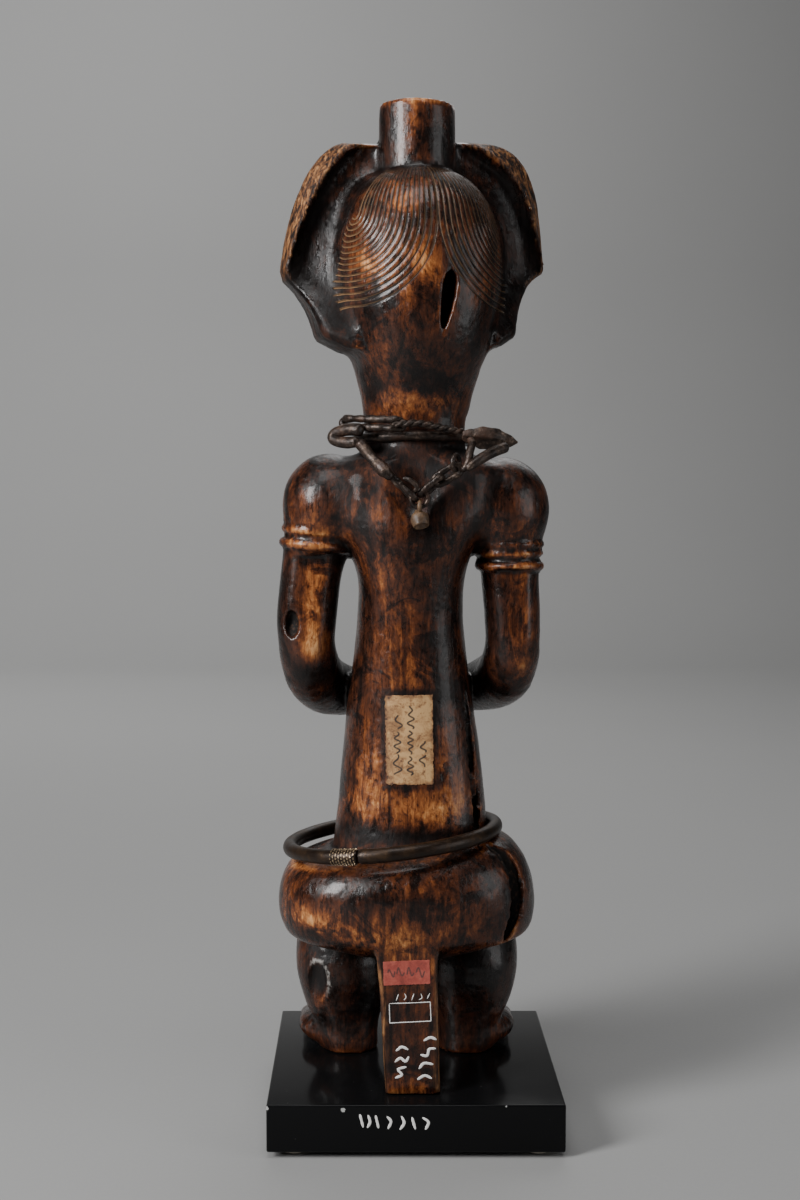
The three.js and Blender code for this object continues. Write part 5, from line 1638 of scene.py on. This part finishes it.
def hatchTree():
    graph = Graph("hatchTicks", {"Long": 0.0006, "Wide": 0.0004, "High": 0.0004, "Seed": 1})
    given = graph.given
    cube = graph.step("GeometryNodeMeshCube", Vertices_X=2, Vertices_Y=2, Vertices_Z=2)
    size = graph.step("ShaderNodeCombineXYZ", sockets={0: given["Long"], 1: given["Wide"], 2: given["High"]})
    outward = graph.named("outward", "FLOAT_VECTOR")
    facing = graph.step("FunctionNodeAxesToRotation", {"primary_axis": "Z", "secondary_axis": "X"},
                        {0: outward, 1: graph.named("lengthwise", "FLOAT_VECTOR")})
    uneven = graph.step("FunctionNodeRandomValue", {"data_type": "FLOAT_VECTOR"},
                        {0: (0.75, 0.7, 0.7), 1: (1.1, 1.1, 1.1)}, Seed=given["Seed"])
    scale = graph.step("ShaderNodeVectorMath", {"operation": "MULTIPLY"}, {0: size, 1: uneven})
    ticks = graph.step("GeometryNodeInstanceOnPoints", Points=given["Geometry"], Instance=cube,
                       Rotation=facing, Scale=scale)
    return graph.end(ticks)


def makeHoop(given):
    material = bronzeFinish("oldBronze", given["tone"])
    half = math.degrees(given["split"] / given["radius"] / 2)
    start = given["splitAt"] - half
    thinner, reach = given["endFall"]
    swell, waves = given["uneven"]
    rows = []
    for part in np.linspace(0, 1, given["lengthSteps"]):
        middle, _ = hoopPlace(start - part * (360 - 2 * half))
        fromEnd = min(part, 1 - part) * 2 * math.pi * given["radius"]
        stout = 1 - thinner * math.exp(-fromEnd / reach) + swell * math.sin(part * waves)
        rows.append((*middle, stout))
    mesh = pathMesh("waistHoopPath", [inMetres(rows)])
    ring = grown("waistHoop", forgedRod, mesh, material, {
        "Radius": given["wire"] / 2 * mm, "Sides": given["sides"], "Step": given["step"] * mm,
        "Hammer": given["hammer"] * mm, "Hammer Scale": given["hammerScale"], "Seed": given["seed"]})
    attach(ring, "bronze", "waist_ring")

    # The collar's ticks, in rows round the wire
    collar = given["collar"]
    points, outs, alongs = [], [], []
    away = np.arange(collar["from"], collar["to"], collar["pitch"])
    for n, distance in enumerate(away):
        degrees = given["splitAt"] + math.degrees(distance / given["radius"])
        middle, outward = hoopPlace(degrees)
        ahead = hoopPlace(degrees + 0.2)[0] - middle
        ahead /= np.linalg.norm(ahead)
        over = np.cross(ahead, outward)
        for j in range(collar["rows"]):
            angle = 2 * math.pi * (j + 0.5 * (n % 2)) / collar["rows"]
            out = outward * math.cos(angle) + over * math.sin(angle)
            points.append(placed(middle + out * (given["wire"] / 2 + 0.02)).tolist())
            outs.append(out)
            alongs.append(ahead)
    source = bpy.data.meshes.new("collarPoints")
    source.from_pydata(points, [], [])
    for name, values in (("outward", outs), ("lengthwise", alongs)):
        layer = source.attributes.new(name, "FLOAT_VECTOR", "POINT")
        layer.data.foreach_set("vector", np.array(values, np.float32).ravel())
    ticks = grown("collarTicks", hatchTree(), source, bronzeFinish("rubbedBronze", given["tickTone"]), {
        "Long": collar["long"] * mm, "Wide": collar["wide"] * mm, "High": collar["high"] * mm, "Seed": 3})
    attach(ticks, "bronze")
    print("hoop bent:", len(points), "ticks on its collar")


makeHoop(hoop)


# Paper slips: sheets laid on the wood, with rows of plain wavy strokes where the ink was

paperLook = {
    "paper": [(0.0, (0.045, 0.018, 0.007)), (0.3, (0.15, 0.068, 0.028)), (0.62, (0.28, 0.143, 0.056)),
              (1.0, (0.46, 0.275, 0.12))],
    "ink": (0.014, 0.01, 0.009),
    "browner": (0.205, 0.193),  # from this height down to that, in metres
    "red": [(0.0, (0.1, 0.018, 0.013)), (0.5, (0.27, 0.046, 0.032)), (1.0, (0.45, 0.11, 0.075))],
    "redInk": (0.045, 0.022, 0.02),
}
redSlip = {
    "place": (-4.9, 67.4), "turn": 2.4, "width": 25.3, "height": 13.3, "thickness": 0.3, "cell": 0.3,
    "ragged": 0.18, "inkHalf": 0.4,
}
paperInk = [  # across, from, to, swing, ripples: each a wavy stroke that runs up the slip
    (-7.0, -18.5, -8.0, 2.6, 1.5), (-6.6, -7.0, 4.5, 1.9, 2.5), (-6.2, 6.5, 13.5, 2.4, 1.0),
    (0.4, -19.0, -9.0, 1.8, 2.5), (0.6, -7.5, 5.0, 1.5, 3.5), (1.0, 6.5, 18.5, 1.9, 2.5),
    (7.4, -14.5, -8.6, 2.1, 1.0), (7.8, -6.5, -1.0, 1.9, 1.0),
]
redInk = [  # the same along the red slip
    (0.2, -10.0, -6.4, 3.0, 1.0), (0.0, -5.2, -1.4, 3.2, 1.0), (-0.2, 0.2, 3.8, 3.0, 1.0),
    (0.1, 5.2, 9.6, 3.2, 1.0),
]


def waveLine(across, start, finish, swing, ripples):
    t = np.linspace(0, 1, 40)
    lean = swing * np.sin(2 * math.pi * ripples * t + across) * (0.7 + 0.3 * np.sin(5 * t + start))
    return across + lean, start + (finish - start) * t


def layOn(given, surface):  # a thin closed sheet on a surface, and its points' places on the slip
    half, tall = given["width"] / 2, given["height"] / 2
    columns, rows = int(given["width"] / given["cell"]), int(given["height"] / given["cell"])
    u, v = np.meshgrid(np.linspace(-1, 1, columns + 1), np.linspace(-1, 1, rows + 1))
    u, v = u.ravel(), v.ravel()
    cut = np.stack([u * half, v * tall, 0 * u], 1)
    ragged = given["ragged"] * (latticeNoise(cut, 1.1, 51) + latticeNoise(cut, 4.0, 52))
    across = u * half - np.sign(u) * np.abs(u) ** 30 * np.abs(ragged)
    up = v * tall - np.sign(v) * np.abs(v) ** 40 * np.abs(ragged) * np.where(v < 0, 1.8, 0.8)
    turn = math.radians(given["turn"])
    x = given["place"][0] + across * math.cos(turn) - up * math.sin(turn)
    z = given["place"][1] + across * math.sin(turn) + up * math.cos(turn)
    wood = surface(x, z).reshape(rows + 1, columns + 1)
    eased = wood.copy()
    for _ in range(14):
        padded = np.pad(eased, 1, mode="edge")
        eased = (padded[:-2, 1:-1] + padded[2:, 1:-1] + padded[1:-1, :-2] + padded[1:-1, 2:]) / 4
    under = np.minimum(eased, wood - 0.02).ravel() - 0.02
    back = np.stack([x, under, z], 1)
    front = np.stack([x, under - given["thickness"], z], 1)
    count = len(x)
    wide = columns + 1
    faces = []
    for i in range(rows):
        for j in range(columns):
            a = i * wide + j
            faces.append((a, a + wide, a + wide + 1, a + 1))
            faces.append((a + count, a + count + 1, a + count + wide + 1, a + count + wide))
    rim = list(range(columns)) + [i * wide + columns for i in range(rows)]
    rim += [rows * wide + j for j in range(columns, 0, -1)] + [i * wide for i in range(rows, 0, -1)]
    for a, b in zip(rim, rim[1:] + rim[:1]):
        faces.append((a, b, b + count, a + count))
    places = np.tile(np.stack([across, up], 1), (2, 1))
    return np.concatenate([back, front]), faces, places


def inked(places, strokes, half):  # one where a stroke's ink lies, half its width to either side
    best = np.full(len(places), 9.0)
    for stroke in strokes:
        across, up = waveLine(*stroke)
        near = (places[:, 1] > stroke[1] - 2) & (places[:, 1] < stroke[2] + 2)
        near &= np.abs(places[:, 0] - stroke[0]) < 5
        if near.any():
            line = list(zip(across.tolist(), up.tolist()))
            best[near] = np.minimum(best[near], lineDistance(places[near, 0], places[near, 1], line))
    return np.clip((half - best) / 0.2 + 0.5, 0, 1)


def slipMesh(name, given, surface, strokes, sideways=False):
    points, faces, places = layOn(given, surface)
    mesh = bpy.data.meshes.new(name)
    mesh.from_pydata(placed(points).tolist(), [], faces)
    storeValues(mesh, "ink", inked(places[:, ::-1] if sideways else places, strokes, given["inkHalf"]))
    fromSide = given["width"] / 2 - np.abs(places[:, 0])
    fromEdge = np.minimum(fromSide, given["height"] / 2 - np.abs(places[:, 1]))
    storeValues(mesh, "rim", np.clip(1 - fromEdge / 2.2, 0, 1))
    faceOut(mesh)
    mesh.shade_smooth()
    return mesh


def paperFinish(given):
    look = Finish("agedPaper")
    ink, rim = look.stored("ink"), look.stored("rim")
    clouds = look.noise(110, 6, 0.66, 0.6)
    fibres = look.noise(1400, 4, 0.7)
    stains = look.noise(240, 6, 0.72).steps(0.54, 0.66)
    low = look.along(2).steps(*given["browner"])
    tone = 0.86 + (clouds - 0.5) * 2.9 + (fibres - 0.5) * 0.8 - rim * 0.4 - stains * 0.55 - low * 0.2
    colour = look.ramp(tone.clamped(), given["paper"])
    fade = (0.6 + look.noise(300, 3) * 0.7).clamped()
    colour = look.mixed(ink * fade, colour, given["ink"])
    relief = look.bump(fibres + clouds * 0.8, 0.5, 0.0003)
    return look.set(Base_Color=colour, Roughness=0.62 + fibres * 0.2, Normal=relief)


def redFinish(given):
    look = Finish("redPaper")
    ink, rim = look.stored("ink"), look.stored("rim")
    clouds = look.noise(170, 5, 0.66, 0.4)
    fibres = look.noise(1500, 4, 0.7)
    tone = 0.55 + (clouds - 0.5) * 1.5 + (fibres - 0.5) * 0.6 + rim * 0.1
    colour = look.ramp(tone.clamped(), given["red"])
    colour = look.mixed(ink * 0.85, colour, given["redInk"])
    return look.set(Base_Color=colour, Roughness=0.58 + fibres * 0.2, Normal=look.bump(fibres, 0.3, 0.0003))


def makeSlips():
    mesh = slipMesh("paperSlip", paperSlip, backOf, paperInk)
    attach(asObject("paperSlip", mesh, paperFinish(paperLook)), "paper", "paper_slip")
    mesh = slipMesh("redSlip", redSlip, onPost, redInk, sideways=True)
    attach(asObject("redSlip", mesh, redFinish(paperLook)), "red_paper", "red_slip")
    print("paper slips laid")


makeSlips()


# White brush strokes: plain wavy marks and a ruled box, where the real one has writing

paint = {
    "film": 0.3 * mm, "wide": 1.5 * mm, "thin": 0.5 * mm, "step": 0.3 * mm, "ragged": 0.1 * mm,
    "white": [(0.0, (0.3, 0.26, 0.23)), (0.35, (0.62, 0.6, 0.57)), (1.0, (0.82, 0.81, 0.79))],
}
postMarks = {  # polylines in millimetres, x across and z up, on the back of the post
    "box": [(-14.2, 50.4), (7.9, 51.4), (8.3, 40.9), (-13.9, 39.8), (-14.2, 50.2)],
    "thin": [
        [(-10.4, 52.2), (-9.3, 55.6)], [(-6.4, 52.4), (-5.2, 54), (-6.0, 56)],
        [(-2.2, 52.4), (-0.9, 55.9)], [(1.8, 52.6), (3.4, 53.8), (2.8, 56)], [(6.2, 53.2), (7.6, 56.2)],
    ],
    "wide": [
        [(-11.0, 9.4), (-7.4, 11.2), (-9.4, 14.2), (-5.0, 15.6)],
        [(-11.2, 18.2), (-8.2, 20.4), (-5.4, 18.6), (-3.6, 21.4)],
        [(-10.6, 24.4), (-7.4, 26.6), (-4.0, 25.2)],
        [(1.0, 8.6), (5.0, 10.8), (8.8, 9.2)],
        [(1.8, 14.6), (4.6, 17.6), (9.6, 17.0)],
        [(2.6, 22.4), (6.2, 21.8), (7.4, 25.4), (11.0, 25.8)],
        [(4.4, 30.0), (8.0, 31.8), (11.2, 30.6)],
    ],
}
plinthMarks = [
    [(-30, -5.2), (-28.2, -12.4)], [(-25.6, -5.6), (-24.6, -9.4), (-26.0, -12.6)],
    [(-21.6, -5.8), (-20.0, -12.8)],
    [(-15.6, -6.4), (-13.4, -9.2), (-15.0, -13.2)], [(-7.8, -6.2), (-6.4, -10), (-8.6, -13.6)],
    [(-2.2, -6.8), (-0.4, -13.4)], [(3.4, -7.0), (6.6, -9.6), (5.0, -13.6)],
]


def brushTree():
    graph = Graph("brushStroke", {"Wide": 0.0015, "Film": 0.0003, "Step": 0.0003, "Ragged": 0.00012,
                                  "Seed": 1})
    given = graph.given
    path = graph.step("GeometryNodeMeshToCurve", Mesh=given["Geometry"])
    path = graph.step("GeometryNodeResampleCurve", {"mode": "LENGTH"}, Curve=path, Length=given["Step"])
    spot = graph.step("GeometryNodeInputPosition")
    press = graph.step("ShaderNodeTexNoise", {"noise_dimensions": "4D"}, Vector=spot, W=given["Seed"],
                       Scale=420.0, Detail=3.0, Roughness=0.6)
    ring = graph.step("GeometryNodeCurvePrimitiveCircle", Resolution=10, Radius=given["Wide"] * 0.5)
    tube = graph.step("GeometryNodeCurveToMesh", Curve=path, Profile_Curve=ring,
                      Scale=graph.named("thickness") * (0.55 + press * 0.9), Fill_Caps=True)
    tube = graph.dented(tube, given["Ragged"], 900.0, given["Seed"] + 5)

    # Pressed flat against what it is painted on: what stands out from the path is kept to the film
    middle = graph.named("surface")
    split = graph.step("ShaderNodeSeparateXYZ", sockets={0: graph.step("GeometryNodeInputPosition")})
    x, y, z = (Wire(graph.tree, socket) for socket in split.socket.node.outputs)
    y = middle + (y - middle) * (given["Film"] / given["Wide"])
    joined = graph.step("ShaderNodeCombineXYZ", sockets={0: x, 1: y, 2: z})
    flat = graph.step("GeometryNodeSetPosition", Geometry=tube, Position=joined)
    return graph.end(graph.step("GeometryNodeSetShadeSmooth", Geometry=flat))


def paintFinish(given):
    look = Finish("whitePaint")
    worn = look.noise(500, 5, 0.7)
    broad = look.noise(90, 3)
    colour = look.ramp((0.75 + (worn - 0.5) * 1.8 + (broad - 0.5) * 0.8).clamped(), given["white"])
    return look.set(Base_Color=colour, Roughness=0.4 + worn * 0.3, Normal=look.bump(worn, 0.35, 0.0003))


def freeRun(stroke):
    return catmull([(x, 0, z, 1) for x, z in stroke], 0.4)


def ruledRun(corners):  # straight from corner to corner
    sides = [np.linspace((*a, 0, 1), (*b, 0, 1), 24) for a, b in zip(corners, corners[1:])]
    return np.concatenate(sides)[:, (0, 2, 1, 3)]


def brushed(name, runs, wide, surface, seed, material, tree):
    lines = []
    for run in runs:
        run[:, 1] = surface(run[:, 0], run[:, 2])
        ends = np.minimum(np.arange(len(run)), np.arange(len(run))[::-1]) / 3
        run[:, 3] = np.clip(0.45 + ends * 0.55, 0, 1)
        lines.append(inMetres(run))
    mesh = pathMesh(name + "Path", lines)
    storeValues(mesh, "surface", np.concatenate([line[:, 1] for line in lines]))
    made = grown(name, tree, mesh, material, {"Wide": wide, "Film": paint["film"], "Step": paint["step"],
                                              "Ragged": paint["ragged"], "Seed": seed})
    attach(made, "paper")


def makePaint():
    material, tree = paintFinish(paint), brushTree()
    thin = [ruledRun(postMarks["box"])] + [freeRun(stroke) for stroke in postMarks["thin"]]
    broad = [freeRun(stroke) for stroke in postMarks["wide"]]
    below = [freeRun(stroke) for stroke in plinthMarks]
    brushed("postThinStrokes", thin, paint["thin"], onPost, 61, material, tree)
    brushed("postBroadStrokes", broad, paint["wide"], onPost, 62, material, tree)
    brushed("plinthStrokes", below, paint["wide"], onPlinth, 63, material, tree)
    print("paint brushed on")


makePaint()


# Glossy black plinth on four soft pads

plinthLook = {
    "bevel": 1.1 * mm, "bevelSteps": 4, "sharpFrom": 40,  # degrees
    "black": (0.0045, 0.0045, 0.0048),
    "dust": (0.16, 0.155, 0.15),
    "chip": (0.34, 0.34, 0.33),
    "chips": [((-0.0797, -0.0799, 0.0276), 0.0011), ((-0.0390, -0.0799, 0.0268), 0.0013),
              ((0.0480, -0.0799, 0.0286), 0.0005)],
    "roughness": 0.14,
    "gloss": 0.12,
}
padLook = {
    "cream": (0.78, 0.71, 0.58), "around": 40,
    "profile": [(0, 0), (0.9, 0), (0.965, 0.06), (1, 0.24), (1, 0.72), (0.95, 0.93), (0.88, 1), (0, 1)],
}


def blackFinish(given):
    look = Finish("glossBlack")
    motes = look.cells(330)
    rare = look.noise(210, 2).steps(0.6, 0.68)
    dust = (1 - motes.steps(0.05, 0.1)) * rare
    film = look.noise(14, 5, 0.6, 0.8)
    chips = None
    for place, radius in given["chips"]:
        away = addNode(look.tree, "ShaderNodeVectorMath", {"operation": "DISTANCE"},
                       {0: look.place, 1: place}, 1)
        chip = 1 - (away + (look.noise(900, 3) - 0.5) * radius * 1.6).steps(radius * 0.75, radius)
        chips = chip if chips is None else chips.sum("MAXIMUM", chips, chip)
    colour = look.mixed(dust * 0.7, given["black"], given["dust"])
    colour = look.mixed(chips, colour, given["chip"])
    rough = given["roughness"] + film.steps(0.45, 0.75) * 0.09 + dust * 0.4 + chips * 0.5
    relief = look.bump(look.noise(36, 3), 0.05, 0.001)
    return look.set(Base_Color=colour, Roughness=rough.clamped(), Specular_IOR_Level=given["gloss"],
                    Normal=look.bump(chips * -1, 0.6, 0.0006, relief))


def makePlinth(given):
    low, high = (Vector(corner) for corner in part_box("plinth"))
    work = bmesh.new()
    bmesh.ops.create_cube(work, size=1)
    for vert in work.verts:
        vert.co = [low[i] + (vert.co[i] + 0.5) * (high[i] - low[i]) for i in range(3)]
    bmesh.ops.bevel(work, geom=work.edges[:], offset=given["bevel"], segments=given["bevelSteps"],
                    profile=0.5, affect="EDGES")
    bmesh.ops.recalc_face_normals(work, faces=work.faces)
    mesh = bpy.data.meshes.new("plinthBlock")
    work.to_mesh(mesh)
    work.free()
    mesh.shade_smooth()
    mesh.set_sharp_from_angle(angle=math.radians(given["sharpFrom"]))
    attach(asObject("plinthBlock", mesh, blackFinish(given)), "black_gloss", "plinth")


def creamFinish(given):
    look = Finish("creamRubber")
    grime = look.noise(160, 4, 0.6)
    colour = look.mixed(grime.steps(0.4, 0.8) * 0.6, given["cream"], tuple(c * 0.5 for c in given["cream"]))
    relief = look.bump(look.noise(900, 2), 0.2, 0.0003)
    return look.set(Base_Color=colour, Roughness=0.55 + grime * 0.2, Normal=relief)


def makePads(given):
    material = creamFinish(given)
    for node in sorted(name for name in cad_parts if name.startswith("rubber_pad")):
        low, high = (Vector(corner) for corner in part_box(node))
        middle, r = (low + high) / 2, (high.x - low.x) / 2
        height = high.z - low.z
        points, faces = turned([(r * out, height * up) for out, up in given["profile"]], given["around"])
        mesh = bpy.data.meshes.new("softPad")
        mesh.from_pydata([(p[0] + middle.x, p[1] + middle.y, p[2] + low.z) for p in points], [], faces)
        faceOut(mesh)
        mesh.shade_smooth()
        where = node.split("_")[2:]
        attach(asObject("softPad" + "".join(word.title() for word in where), mesh, material), "rubber", node)


makePlinth(plinthLook)
makePads(padLook)
print("plinth and pads set down")
